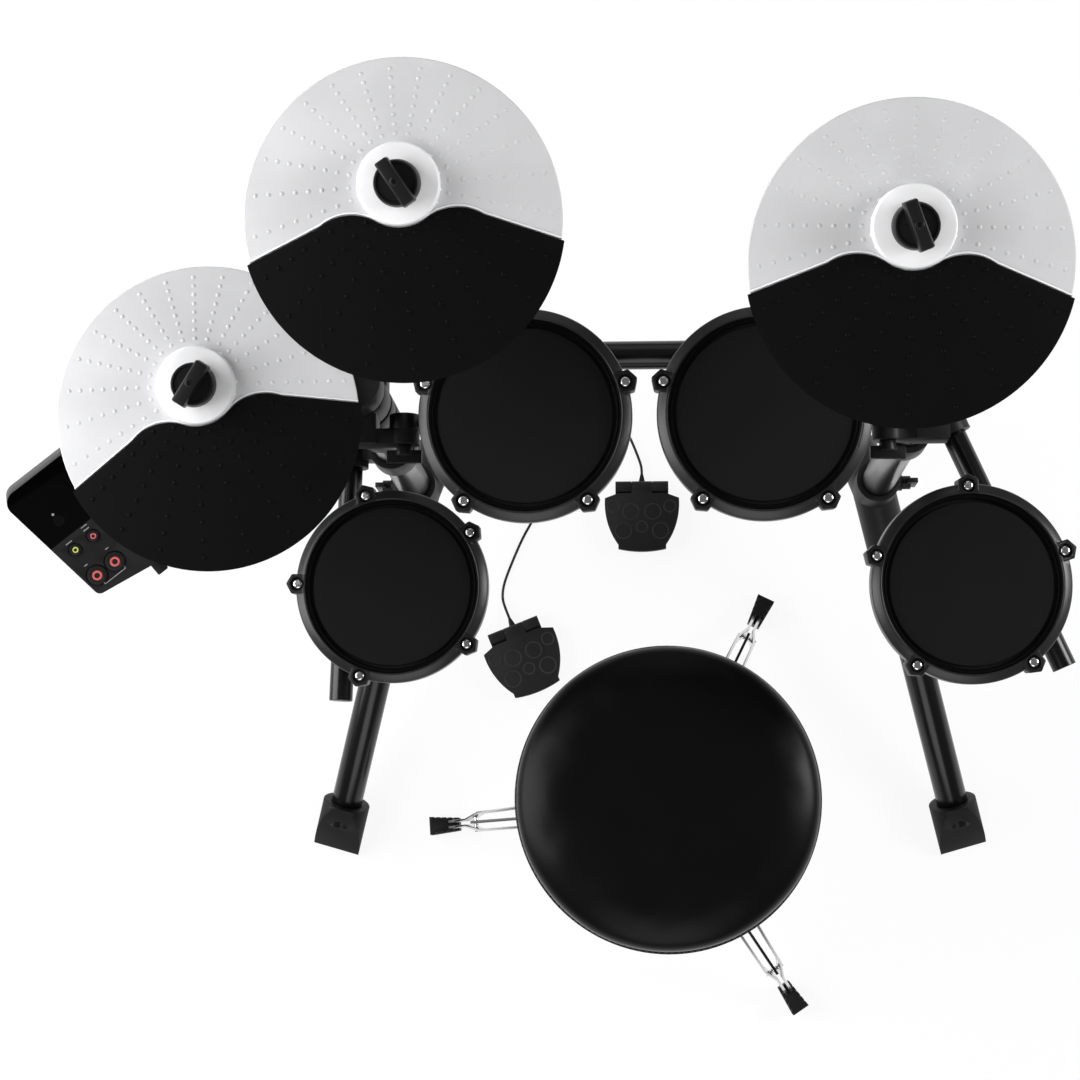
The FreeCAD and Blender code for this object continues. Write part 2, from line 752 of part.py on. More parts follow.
def below_seat(name, distance):
    return cymbal_frame(name, CYMBALS[name]).multVec(V(0, 0, -distance))


SIDE_RODS = {
    "crash": (POST_TOP - S.side_cap_drop, S.crash_rod_straight),
    "hihat": (S.hihat_clamp_at, S.hihat_rod_straight),
}


def side_rod_points(name):
    """Axis of a rod that leaves the post sideways: from the post to the bend under the seat."""
    height, straight = SIDE_RODS[name]
    return on_post(CYMBALS[name], height), below_seat(name, straight)


def side_rod_way(name):
    start, bend = side_rod_points(name)
    return (bend - start).normalize()


def cymbal_rod(name):
    """A bent rod up to the cymbal's seat, with a thinner threaded stud above it."""
    side = CYMBALS[name]
    seat_end = below_seat(name, S.seat_cup_height)
    if name in SIDE_RODS:
        start, bend = side_rod_points(name)
        points = [start + side_rod_way(name) * S.rod_grip, bend, seat_end]
    else:
        foot = on_post(side, POST_TOP - S.rod_grip)
        turn = on_post(side, POST_TOP + S.cymbal_rod_rise)
        points = [foot, turn, below_seat(name, S.cymbal_rod_straight), seat_end]
    edges = rounded_path(points, [S.cymbal_rod_bend] * (len(points) - 2))
    bar = feature(name + "_bar", piped(edges, S.cymbal_rod_radius))
    seat = cymbal_frame(name, side)
    stud = cylinder(name + "_stud", "cymbal_stud_radius", "cymbal_stud_length + seat_cup_height")
    stud.Placement = seat.multiply(at(V(0, 0, -S.seat_cup_height)))
    return fuse(name + "_rod", bar, stud)


def tom_rod(side):
    """The moving half of the tilter with the rod that the tom's bracket turns on."""
    name = "tom_rod_%d" % (side + 1)
    tilter = tilter_at(side)
    disc = cylinder(name + "_disc", "tilter_radius", "tilter_thickness",
                    at(tilter - BACKWARDS * S.tilter_thickness / 2, BACKWARDS))
    end = V(S.rack_middle_x + side * (S.tom_spread / 2 - S.pad_rod_beyond), tilter.y, tilter.z)
    rod = cylinder_between(name + "_rod", "pad_rod_radius", tilter, end)
    return fuse(name, disc, rod)


def mount_rods():
    rods = [cymbal_rod(name) for name in CYMBALS] + [tom_rod(side) for side in (LEFT, RIGHT)]
    node("mount_rods", group("mount_rods", rods))


def cymbal_cups():
    cups = []
    for name, side in CYMBALS.items():
        seat = cymbal_frame(name, side)
        cup = add("Part::Cone", name + "_cup_body", Radius1="seat_cup_base_radius", Radius2="seat_cup_radius",
                  Height="seat_cup_height - seat_gap - under_boss_height")
        hole = cylinder(name + "_cup_hole", "cymbal_stud_radius + tube_fit", "seat_cup_height")
        ring = cut(name + "_cup", cup, hole)
        ring.Placement = seat.multiply(at(V(0, 0, -S.seat_cup_height)))
        cups.append(ring)
    node("cymbal_cups", group("cymbal_cups", cups))


# Cymbal pads
DOME_RADIUS = "(plate_radius ^ 2 + plate_rise ^ 2) / (2 * plate_rise)"
DOME = (S.plate_radius ** 2 + S.plate_rise ** 2) / (2 * S.plate_rise)
DOME_SAG = DOME - math.sqrt(DOME ** 2 - S.hub_offset ** 2)


def dome_shell(name, inner, outer, limit):
    """The stretch of a spherical shell that a prism or cylinder holds, about the plate's own middle."""
    centre = at(V(0, -S.hub_offset, S.plate_thickness + DOME_SAG - DOME))
    outside = add("Part::Sphere", name + "_outside", centre, Radius=outer)
    inside = add("Part::Sphere", name + "_inside", centre, Radius=inner)
    return common(name, cut(name + "_skin", outside, inside), limit)


def cymbal_plate(name):
    label = name + "_plate"
    rim = cylinder(label + "_rim", "plate_radius", 80, at(V(0, -S.hub_offset, -40)))
    skin = dome_shell(label + "_dome", DOME_RADIUS + " - plate_thickness", DOME_RADIUS, rim)
    boss = add("Part::Cone", label + "_boss", at(V(0, 0, S.plate_thickness / 2)), Radius1="cup_boss_radius",
               Radius2="cup_boss_top_radius", Height="cup_boss_height + plate_thickness / 2")
    under = cylinder(label + "_under", "under_boss_radius", "under_boss_height + plate_thickness / 2",
                     at(V(0, 0, -S.under_boss_height)))
    hole = cylinder(label + "_hole", "hub_hole_radius", 60, at(V(0, 0, -30)))
    plate = cut(label, fuse(label + "_whole", skin, boss, under), hole)
    plate.Placement = cymbal_frame(name, CYMBALS[name])
    node(label, plate)


def strike_outline():
    """The strike zone seen along the plate's normal: straight shoulders, two crests and a dip round the hub."""
    rim = S.plate_radius + S.strike_overhang
    corner_x = math.sqrt(rim ** 2 - S.strike_corner_y ** 2)

    def point(x, y):
        return V(x, y - S.hub_offset, 0)

    def half(sign):
        corner = point(sign * corner_x, S.strike_corner_y)
        shoulder = point(sign * S.strike_shoulder_x, S.strike_shoulder_y)
        crest = point(sign * S.strike_crest_x, S.strike_crest_y)
        saddle = point(sign * S.strike_saddle_x, S.strike_saddle_y)
        return corner, shoulder, crest, saddle

    left, right = half(-1), half(1)
    edges = [
        Part.LineSegment(left[0], left[1]),
        Part.Arc(left[1], left[2], left[3]),
        Part.Arc(left[3], point(0, S.strike_dip_y), right[3]),
        Part.Arc(right[3], right[2], right[1]),
        Part.LineSegment(right[1], right[0]),
        Part.Arc(right[0], point(0, -rim), left[0]),
    ]
    return Part.Face(Part.Wire([edge.toShape() for edge in edges]))


def strike_pad(name):
    """The rubber strike zone, a skin on top of the plate that stands out past its rim."""
    label = name + "_strike_pad"
    prism = feature(label + "_prism", strike_outline().extrude(V(0, 0, 80)))
    prism.Placement = at(V(0, 0, -40))
    boss_room = cylinder(label + "_boss_room", "cup_boss_radius + moving_gap", 80, at(V(0, 0, -40)))
    skin = dome_shell(label + "_skin", DOME_RADIUS, DOME_RADIUS + " + strike_thickness", prism)
    pad = cut(label, skin, boss_room)
    pad.Placement = cymbal_frame(name, CYMBALS[name])
    node(label, pad)


def wing_nut(name):
    """A round nut with a raised wing, on the rod's stud."""
    label = name + "_wing_nut"
    spigot = cylinder(label + "_spigot", "nut_spigot_radius", "nut_spigot_height")
    body = add("Part::Cone", label + "_body", at(V(0, 0, S.nut_spigot_height)), Radius1="nut_radius",
               Radius2="nut_radius - nut_spigot_height / 2", Height="nut_height")
    wing = add("Part::Box", label + "_wing", Length="nut_wing_span", Width="nut_wing_width",
               Height="nut_wing_height + nut_height / 2")
    corner = V(-S.nut_wing_span / 2, -S.nut_wing_width / 2, S.nut_spigot_height + S.nut_height / 2)
    wing.Placement = FreeCAD.Placement(corner, FreeCAD.Rotation())
    bore = cylinder(label + "_bore", "cymbal_stud_radius + running_fit", "nut_bore_depth + moving_gap")
    nut = cut(label, fuse(label + "_whole", spigot, body, wing), bore)
    seat = cymbal_frame(name, CYMBALS[name])
    lift = at(V(0, 0, S.plate_thickness + S.cup_boss_height + S.seat_gap))
    turn = FreeCAD.Placement(V(), FreeCAD.Rotation(UP, getattr(S, name + "_wing_turn")))
    nut.Placement = seat.multiply(lift).multiply(turn)
    node(label, nut)
    axis = seat.Rotation.multVec(UP)
    joint(name + "_nut_spin", seat.Base, axis)
    joint(name + "_rock", seat.multVec(V(0, 0, S.plate_thickness / 2)), seat.Rotation.multVec(SIDEWAYS))


# Mesh pads, built about the middle of the head with the bracket's rod along X
def pad_shell(label):
    """A moulded bowl with its bracket, and the trigger plate and foam cone inside it."""
    rim = "-head_thickness - head_flange_drop"
    bowl = revolved(label + "_bowl", [
        ("0", "-shell_depth"), ("shell_radius - shell_corner", "-shell_depth"),
        ("shell_radius", "-shell_depth + shell_corner"), ("shell_radius", rim),
        ("shell_radius - shell_wall", rim),
        ("shell_radius - shell_wall", "-shell_depth + shell_corner + shell_wall / 2"),
        ("shell_radius - shell_corner - shell_wall / 2", "-shell_depth + shell_wall"),
        ("0", "-shell_depth + shell_wall"),
    ])
    bracket = add("Part::Box", label + "_bracket", Length="bracket_width", Width="bracket_depth",
                  Height="pad_pivot_drop + bracket_below - shell_depth + shell_wall / 2")
    low = -S.pad_pivot_drop - S.bracket_below
    bracket.Placement = FreeCAD.Placement(V(-S.bracket_width / 2, -S.bracket_depth / 2, low), FreeCAD.Rotation())
    bore = cylinder(label + "_rod_bore", "pad_rod_radius + running_fit", "bracket_width",
                    at(V(-S.bracket_width / 2, 0, -S.pad_pivot_drop), SIDEWAYS))
    shell = cut(label + "_moulding", fuse(label + "_body", bowl, bracket), bore)
    stem = cylinder(label + "_stem", "trigger_stem_radius", "shell_depth - shell_wall - trigger_plate_drop",
                    at(V(0, 0, -S.shell_depth + S.shell_wall)))
    plate = cylinder(label + "_trigger_plate", "trigger_plate_radius", "trigger_plate_thickness",
                     at(V(0, 0, -S.trigger_plate_drop)))
    cone = add("Part::Cone", label + "_cone", at(V(0, 0, S.trigger_plate_thickness - S.trigger_plate_drop)),
               Radius1="trigger_cone_radius", Radius2="trigger_cone_tip",
               Height="trigger_plate_drop - trigger_plate_thickness - head_thickness")
    return group(label, [shell, fuse(label + "_trigger", stem, plate), cone])


def pad_head(label):
    """The mesh head: a flat playing disc over a flange that the hoop holds down."""
    return revolved(label, [
        ("0", "-head_thickness"), ("head_radius - head_thickness", "-head_thickness"),
        ("head_radius - head_thickness", "-head_flange_drop - head_thickness"),
        ("head_flange_radius", "-head_flange_drop - head_thickness"), ("head_flange_radius", "-head_flange_drop"),
        ("head_radius", "-head_flange_drop"), ("head_radius", "-head_thickness / 2"),
        ("head_radius - head_thickness / 2", "0"), ("0", "0"),
    ])


def round_the_rim(lug_turn):
    """Places of the lugs round the pad."""
    for i in range(S.lug_count):
        angle = math.radians(lug_turn + 360 * i / S.lug_count)
        yield V(math.cos(angle), math.sin(angle), 0) * S.lug_circle_radius, math.degrees(angle)


def pad_hoop(label, lug_turn):
    """The tension hoop with its six-sided lugs."""
    over_flange = "-head_flange_drop + hoop_gap"
    ring = revolved(label + "_ring", [
        ("hoop_inner_radius", over_flange), ("head_flange_radius + hoop_gap", over_flange),
        ("head_flange_radius + hoop_gap", "-head_flange_drop - head_thickness + hoop_gap"),
        ("shell_radius + hoop_gap", "-head_flange_drop - head_thickness + hoop_gap"),
        ("shell_radius + hoop_gap", "-hoop_bottom"), ("hoop_radius - hoop_edge / 2", "-hoop_bottom"),
        ("hoop_radius", "-hoop_bottom + hoop_edge"), ("hoop_radius", "hoop_top - hoop_edge"),
        ("hoop_radius - hoop_edge", "hoop_top"), ("hoop_inner_radius + hoop_edge / 2", "hoop_top"),
        ("hoop_inner_radius", "hoop_top - hoop_edge / 2"),
    ])
    lugs = []
    holes = []
    low = V(0, 0, -S.hoop_bottom)
    for i, (out, angle) in enumerate(round_the_rim(lug_turn)):
        place = FreeCAD.Placement(out + low, FreeCAD.Rotation(UP, angle))
        lugs.append(add("Part::Prism", "%s_lug_%d" % (label, i), place, Polygon=6, Circumradius="lug_radius",
                        Height="hoop_bottom + hoop_top - lug_drop"))
        recess_at = out + UP * (S.hoop_top - S.lug_drop - S.screw_recess_depth)
        holes.append(cylinder("%s_recess_%d" % (label, i), "screw_recess_radius", "2 * screw_recess_depth",
                              at(recess_at)))
        holes.append(cylinder("%s_hole_%d" % (label, i), "screw_radius + tube_fit", "hoop_bottom + hoop_top",
                              at(out + low)))
    bowl_room = cylinder(label + "_bowl_room", "shell_radius + hoop_gap", "hoop_bottom - head_flange_drop", at(low))
    solid = fuse(label + "_solid", ring, cut(label + "_lugs", fuse(label + "_lug_set", *lugs), bowl_room))
    return cut(label, solid, *holes)


def pad_screws(label, lug_turn):
    screws = []
    seat = S.hoop_top - S.lug_drop - S.screw_recess_depth
    for i, (out, _) in enumerate(round_the_rim(lug_turn)):
        head = cylinder("%s_head_%d" % (label, i), "screw_head_radius", "screw_head_height", at(out + UP * seat))
        low = out - UP * (S.hoop_bottom + S.screw_below)
        shank = cylinder("%s_shank_%d" % (label, i), "screw_radius", seat + S.hoop_bottom + S.screw_below, at(low))
        screws.append(fuse("%s_%d" % (label, i), head, shank))
    return group(label, screws)


def mesh_pad(name, pivot, rod_axis, tilt, lug_turn):
    """Shell, head, hoop and screws of one pad, tilted about its rod."""
    level = facing(pivot, rod_axis, UP)
    lean = FreeCAD.Placement(V(), FreeCAD.Rotation(SIDEWAYS, tilt))
    middle = level.multiply(lean).multiply(at(V(0, 0, S.pad_pivot_drop)))
    pieces = {
        "shell": pad_shell(name + "_shell"),
        "head": pad_head(name + "_head"),
        "hoop": pad_hoop(name + "_hoop", lug_turn),
        "screws": pad_screws(name + "_screws", lug_turn),
    }
    for piece, item in pieces.items():
        item.Placement = middle
        node("%s_%s" % (name, piece), item)
    joint(name + "_tilt", pivot, rod_axis)


def toms():
    for name, side in (("left_tom", LEFT), ("right_tom", RIGHT)):
        tilter = tilter_at(side)
        pivot = V(S.rack_middle_x + side * S.tom_spread / 2, tilter.y, tilter.z)
        mesh_pad(name, pivot, SIDEWAYS, S.tom_tilt, S.tom_lug_turn)


# Swinging arms with the snare and the floor tom
def arm_frame(side, height, angle):
    """Origin on the post's axis, Y along the arm, X towards the drummer's middle on the left arm."""
    outward = math.radians(angle)
    along = V(side * math.sin(outward), -math.cos(outward), 0)
    return FreeCAD.Placement(on_post(side, height), FreeCAD.Rotation(along.cross(UP), along, UP, "ZYX"))


def swinging_arm(arm, pad, side, height, angle, reach, along, inside, tilt, lug_turn):
    """Clamp, tube and pad holder of one arm, and the pad on it."""
    frame = arm_frame(side, height, angle)
    out = S.arm_offset * side * -1
    inner = -1 if out > 0 else 1

    def local(x, y, z=0.0):
        return frame.multVec(V(x, y, z))

    def direction(x, y, z=0.0):
        return frame.Rotation.multVec(V(x, y, z))

    across = direction(inner, 0)
    forward = direction(0, 1)
    arm_axis = local(out, 0)

    name = arm + "_arm_clamp"
    half = S.arm_clamp_height / 2
    sleeve = cylinder(name + "_sleeve", "leg_tube_radius + clamp_wall", "arm_clamp_height", at(local(0, 0, -half)))
    post_bore = cylinder(name + "_post_bore", "leg_tube_radius + running_fit", "arm_clamp_height",
                         at(local(0, 0, -half)))
    grip = cylinder(name + "_grip", "arm_tube_radius + clamp_wall", "arm_clamp_height",
                    at(arm_axis - forward * half, forward))
    arm_bore = cylinder(name + "_arm_bore", "arm_tube_radius + tube_fit", "arm_clamp_height",
                        at(arm_axis - forward * half, forward))
    web = add("Part::Box", name + "_web", Length="arm_offset", Width="clamp_web", Height="clamp_web")
    web.Placement = facing(arm_axis, across, UP).multiply(
        FreeCAD.Placement(V(0, -S.clamp_web / 2, -S.clamp_web / 2), FreeCAD.Rotation()))
    boss, hole, bolt = seated_bolt(name + "_bolt", arm_axis, across * -1, S.arm_tube_radius + S.clamp_wall,
                                   S.arm_tube_radius)
    body = cut(name + "_body", fuse(name + "_solid", sleeve, grip, web, boss), post_bore, arm_bore, hole)
    node(name, group(name, [body, bolt]))

    start = arm_axis - forward * S.arm_tail
    end = arm_axis + forward * reach
    outer = cylinder_between(arm + "_arm_outer", "arm_tube_radius", start, end)
    bore = cylinder_between(arm + "_arm_bore", "arm_tube_radius - thin_tube_wall", start,
                            end - forward * S.clamp_wall)
    node(arm + "_arm", cut(arm + "_arm", outer, bore))

    name = pad + "_holder"
    rise = UP * S.pad_rod_rise
    ring_start = arm_axis + forward * (along - S.holder_length / 2)
    ring = cylinder(name + "_ring", "arm_tube_radius + clamp_wall", "holder_length", at(ring_start, forward))
    ring_bore = cylinder(name + "_ring_bore", "arm_tube_radius + tube_fit", "holder_length", at(ring_start, forward))
    boss_start = arm_axis + forward * along + rise - across * S.holder_length / 2
    boss = cylinder(name + "_boss", "pad_rod_radius + clamp_wall", "holder_length", at(boss_start, across))
    collar = cut(name + "_collar", fuse(name + "_body", ring, boss), ring_bore)
    rod_start = arm_axis + forward * along + rise
    pivot = rod_start + across * inside
    rod = cylinder_between(name + "_rod", "pad_rod_radius", rod_start, pivot + across * S.pad_rod_beyond)
    node(name, fuse(name, collar, rod))

    rod_axis = across if side == LEFT else across * -1
    mesh_pad(pad, pivot, rod_axis, tilt, lug_turn)
    joint(arm + "_arm_swing", on_post(side, height), UP)


def swinging_arms():
    swinging_arm("left", "snare", LEFT, S.left_arm_at, S.left_arm_angle, S.left_arm_reach, S.snare_along,
                 S.snare_inside, S.snare_tilt, S.snare_lug_turn)
    swinging_arm("right", "floor_tom", RIGHT, S.right_arm_at, S.right_arm_angle, S.right_arm_reach,
                 S.floor_tom_along, S.floor_tom_inside, S.floor_tom_tilt, S.floor_tom_lug_turn)


# Sound module
def module_frame():
    """Origin in the middle of the cover, X along its long side, Z out of its face."""
    turn = FreeCAD.Rotation(UP, S.module_turn)
    tilt = FreeCAD.Rotation(SIDEWAYS, S.module_tilt)
    place = on_post(LEFT, 0) + V(S.module_x, S.module_y, S.module_z)
    return FreeCAD.Placement(place, turn.multiply(tilt))


def module_outline(low):
    """The module seen along its normal: wide at the back, sides that draw in, and a front edge bent twice."""
    depth = S.module_depth / 2

    def half(sign):
        return [V(sign * S.module_width / 2, depth, low),
                V(sign * S.module_front_width / 2, S.module_front_rise - depth, low),
                V(sign * S.module_front_flat / 2, -depth, low)]

    radii = [S.module_corner, S.module_front_corner, S.module_front_bend]
    middle = V(0, depth, low)
    points = [middle] + half(-1) + half(1)[::-1] + [middle]
    return Part.Face(Part.Wire(rounded_path(points, radii + radii[::-1])))


def module_slab(name, inset, low, height):
    """A slab with the module's outline, drawn in by the inset."""
    outline = module_outline(low)
    if inset:
        outline = outline.makeOffset2D(-inset)
    return feature(name, outline.extrude(V(0, 0, height)))


BUTTONS = {
    "yellow_button": ("small_button_radius", S.button_left_x, S.small_button_y),
    "red_button": ("small_button_radius", S.button_right_x, S.small_button_y),
    "left_pad_button": ("big_button_radius", S.button_left_x, S.big_button_y),
    "right_pad_button": ("big_button_radius", S.button_right_x, S.big_button_y),
}
BOARD_TOP = -S.board_drop
BUTTON_BOTTOM = -S.module_cover - S.moving_gap - S.button_lip_thickness


def module_case():
    floor = -S.module_height
    outer = module_slab("case_outer", 0.0, floor, S.module_height - S.module_cover)
    inner = module_slab("case_inner", S.module_wall, floor + S.module_wall, S.module_height)
    tray = cut("case_tray", outer, inner)
    standoffs = []
    for x in (-1, 1):
        for y in (-1, 1):
            spot = V(x * (S.board_width / 2 - S.standoff_inset), y * (S.board_depth / 2 - S.standoff_inset), floor)
            standoffs.append(cylinder("standoff_%d%d" % (x + 1, y + 1), "standoff_radius",
                                      "module_height - board_drop - board_thickness", at(spot)))
    ear = add("Part::Box", "case_ear", Length="module_ear_width", Width="module_ear_depth",
              Height="module_pivot_drop + module_ear_below - module_height + module_wall / 2")
    ear.Placement = FreeCAD.Placement(
        V(-S.module_ear_width / 2, -S.module_ear_depth / 2, -S.module_pivot_drop - S.module_ear_below),
        FreeCAD.Rotation())
    bore = cylinder("case_rod_bore", "cymbal_rod_radius + running_fit", "module_ear_width",
                    at(V(-S.module_ear_width / 2, 0, -S.module_pivot_drop), SIDEWAYS))
    case = cut("module_case", fuse("case_body", tray, ear, *standoffs), bore)
    case.Placement = module_frame()
    node("module_case", case)


def module_cover():
    plate = module_slab("cover_plate", 0.0, -S.module_cover, S.module_cover)
    holes = []
    for name, (radius, x, y) in BUTTONS.items():
        holes.append(cylinder(name + "_hole", radius + " + button_gap", "2 * module_cover",
                              at(V(x, y, -S.module_cover * 1.5))))
    cover = cut("module_cover", plate, *holes)
    cover.Placement = module_frame()
    node("module_cover", cover)


def circuit_board():
    board = add("Part::Box", "board_plate", Length="board_width", Width="board_depth", Height="board_thickness")
    board.Placement = FreeCAD.Placement(V(-S.board_width / 2, -S.board_depth / 2, BOARD_TOP - S.board_thickness),
                                        FreeCAD.Rotation())
    parts = [board]
    top = BUTTON_BOTTOM - S.button_travel - S.moving_gap
    half = S.switch_size / 2
    for name, (_, x, y) in BUTTONS.items():
        x_on_board = max(x, -S.board_width / 2 + half)
        parts.append(block(name + "_switch", (x_on_board - half, y - half, BOARD_TOP),
                           (x_on_board + half, y + half, top)))
    board = fuse("circuit_board", *parts)
    board.Placement = module_frame()
    node("circuit_board", board)


def module_buttons():
    frame = module_frame()
    for name, (radius, x, y) in BUTTONS.items():
        lip = cylinder(name + "_lip", radius + " + button_lip", "button_lip_thickness", at(V(x, y, BUTTON_BOTTOM)))
        cap = cylinder(name + "_cap", radius, "button_proud + module_cover + moving_gap + button_lip_thickness",
                       at(V(x, y, BUTTON_BOTTOM)))
        button = fuse(name, lip, cap)
        button.Placement = frame
        node(name, button)
        joint(name + "_press", frame.multVec(V(x, y, 0)), frame.Rotation.multVec(-UP))


def module_bracket():
    """A post clamp and the bent rod that the module's ear turns on."""
    frame = module_frame()
    pivot = frame.multVec(V(0, 0, -S.module_pivot_drop))
    reading = frame.Rotation.multVec(SIDEWAYS)
    bend = pivot + reading * S.module_rod_run
    height = pivot.z
    start = on_post(LEFT, height)
    toward = (bend - start).normalize()
    points = [start + toward * S.rod_grip, bend, pivot - reading * (S.module_ear_width / 2 + S.module_rod_end)]
    rod = feature("module_rod", piped(rounded_path(points, [S.cymbal_rod_bend]), S.cymbal_rod_radius))
    clamp = rod_boss_clamp("module_clamp", LEFT, height, toward)
    node("module_bracket", group("module_bracket", [clamp, rod]))
    joint("module_tilt", pivot, reading)


# Switch pedals, drawn with the hinge strip at the back of the outline and Y towards the back
def pedal_face(start_y, inset):
    """The treadle's outline from start_y to its toe: shoulders, a curved taper and a short toe."""
    def edge(sign):
        return [
            V(sign * (S.pedal_strip_half - inset), -start_y, 0),
            V(sign * (S.pedal_strip_half - inset), -S.pedal_strip_depth - S.pedal_hinge_radius / 2, 0),
            V(sign * (S.pedal_shoulder_half - inset), -S.pedal_shoulder_y - inset, 0),
            V(sign * (S.pedal_belly_half - inset), -S.pedal_belly_y, 0),
            V(sign * (S.pedal_toe_half - inset), -S.pedal_toe_y, 0),
            V(sign * (S.pedal_toe_half - inset), -S.pedal_length + inset, 0),
        ]

    left, right = edge(-1), edge(1)
    edges = [
        Part.LineSegment(left[0], left[1]),
        Part.LineSegment(left[1], left[2]),
        Part.Arc(left[2], left[3], left[4]),
        Part.LineSegment(left[4], left[5]),
        Part.Arc(left[5], V(0, -S.pedal_length - S.pedal_toe_bulge + inset, 0), right[5]),
        Part.LineSegment(right[5], right[4]),
        Part.Arc(right[4], right[3], right[2]),
        Part.LineSegment(right[2], right[1]),
        Part.LineSegment(right[1], right[0]),
        Part.LineSegment(right[0], left[0]),
    ]
    return Part.Face(Part.Wire([item.toShape() for item in edges]))


def pedal_frame(name):
    turn = FreeCAD.Rotation(UP, getattr(S, name + "_pedal_turn"))
    place = rack_floor() + V(getattr(S, name + "_pedal_x"), getattr(S, name + "_pedal_y"), 0)
    return FreeCAD.Placement(place, turn)


def pedal_boot(name):
    """Where a pedal's lead leaves its boot, and which way."""
    frame = pedal_frame(name)
    return frame.multVec(V(0, S.pedal_boot_length, S.pedal_cord_at)), frame.Rotation.multVec(BACKWARDS)


def pedal_knuckle(name, start, end):
    return cylinder(name, "pedal_hinge_radius", end - start,
                    at(V(start, -S.pedal_hinge_radius, S.pedal_hinge_at), SIDEWAYS))


def pedal_base(name):
    """Floor plate with two hinge knuckles and their pin, the switch dome and the lead's boot."""
    label = name + "_base"
    back = S.pedal_hinge_radius * 2
    plate = feature(label + "_plate", pedal_face(0.0, S.pedal_base_inset).extrude(V(0, 0, S.pedal_base_height)))
    dome = cylinder(label + "_dome", "pedal_dome_radius", "pedal_base_height + pedal_dome_height",
                    at(V(0, -S.pedal_dome_y, 0)))
    pieces = [plate, dome]
    for sign in (-1, 1):
        reach = sorted((sign * S.pedal_knuckle_half, sign * S.pedal_strip_half))
        pieces.append(pedal_knuckle("%s_knuckle_%d" % (label, sign + 1), *reach))
        pieces.append(block("%s_cheek_%d" % (label, sign + 1), (reach[0], -back, 0), (reach[1], 0, S.pedal_hinge_at)))
    pieces.append(cylinder(label + "_pin", "pedal_pin_radius", 2 * S.pedal_strip_half,
                           at(V(-S.pedal_strip_half, -S.pedal_hinge_radius, S.pedal_hinge_at), SIDEWAYS)))
    pieces.append(block(label + "_gland", (-S.pedal_boot_radius * 1.5, -back, 0),
                        (S.pedal_boot_radius * 1.5, 0, S.pedal_base_height)))
    pieces.append(add("Part::Cone", label + "_boot", at(V(0, 0, S.pedal_cord_at), BACKWARDS),
                      Radius1="pedal_boot_radius", Radius2="cord_radius + tube_fit", Height="pedal_boot_length"))
    base = fuse(label, *pieces)
    base.Placement = pedal_frame(name)
    return base


def treadle(name):
    """The foot plate with its middle knuckle on the hinge pin."""
    label = name + "_treadle"
    back = S.pedal_hinge_radius * 2 + S.moving_gap
    plate = feature(label + "_plate", pedal_face(back, 0.0).extrude(V(0, 0, S.treadle_thickness)))
    plate.Placement = at(V(0, 0, S.treadle_bottom))
    half = S.pedal_knuckle_half - S.moving_gap
    knuckle = pedal_knuckle(label + "_knuckle", -half, half)
    tongue = block(label + "_tongue", (-half, -back - S.treadle_thickness, S.treadle_bottom),
                   (half, -S.pedal_hinge_radius, S.treadle_bottom + S.treadle_thickness))
    bore = cylinder(label + "_bore", "pedal_pin_radius + running_fit", 2 * half,
                    at(V(-half, -S.pedal_hinge_radius, S.pedal_hinge_at), SIDEWAYS))
    item = cut(label, fuse(label + "_body", plate, knuckle, tongue), bore)
    frame = pedal_frame(name)
    item.Placement = frame
    node(label, item)
    joint(name + "_treadle_press", frame.multVec(V(0, -S.pedal_hinge_radius, S.pedal_hinge_at)),
          frame.Rotation.multVec(SIDEWAYS))


def pedals():
    node("pedal_bases", group("pedal_bases", [pedal_base(name) for name in ("kick", "hihat")]))
    for name in ("kick", "hihat"):
        treadle(name)


# Throne
def throne_point(radius, turn, height, across=0.0):
    """A point over the throne's floor circle, given across its leg's line."""
    angle = math.radians(S.throne_turn + turn)
    out = V(math.cos(angle), math.sin(angle), 0)
    side = V(-math.sin(angle), math.cos(angle), 0)
    return rack_floor() + V(S.throne_x, S.throne_y, height) + out * radius + side * across


LEG_TURNS = (60, 180, 300)


def flat_bar(name, start, end):
    """A flat bar on edge between two points."""
    along = (end - start).normalize()
    across = along.cross(UP).normalize()
    bar = add("Part::Box", name, Length=(end - start).Length, Width="leg_bar_thickness", Height="leg_bar_height")
    corner = start + across * (S.leg_bar_thickness / 2) - across.cross(along) * (S.leg_bar_height / 2)
    bar.Placement = facing(corner, along, across.cross(along))
    return bar


def leg_bar_height_at(radius):
    """Height of a leg's slope over the throne's floor circle."""
    inner = S.collar_radius + 1
    outer = S.throne_reach + S.throne_foot_grip
    share = (radius - inner) / (outer - inner)
    return S.upper_collar_at + (S.leg_bar_foot_at - S.upper_collar_at) * share


def leg_bar_points(turn, sign):
    """Axis of one bar of a leg: from the collar, in to the pinch and straight on into the foot."""
    end = S.throne_reach + S.throne_foot_grip
    places = [(S.collar_radius + 1, S.leg_bar_spread), (end - S.leg_bar_bend_back, S.leg_bar_bend_spread),
              (end - S.leg_bar_pinch_back, S.leg_bar_foot_spread), (end, S.leg_bar_foot_spread)]
    return [throne_point(radius, turn, leg_bar_height_at(radius), sign * spread) for radius, spread in places]


def leg_bar(name, turn, sign):
    """A flat bar on edge along its bent axis."""
    points = leg_bar_points(turn, sign)
    path = Part.Wire(rounded_path(points, [S.leg_bar_bend_radius] * 2))
    along = (points[1] - points[0]).normalize()
    across = along.cross(points[2] - points[0]).cross(along).normalize() * (S.leg_bar_thickness / 2)
    over = along.cross(across).normalize() * (S.leg_bar_height / 2)
    corners = [points[0] + across * x + over * y for x, y in ((-1, -1), (1, -1), (1, 1), (-1, 1), (-1, -1))]
    return feature(name, path.makePipeShell([Part.makePolygon(corners)], True, False))


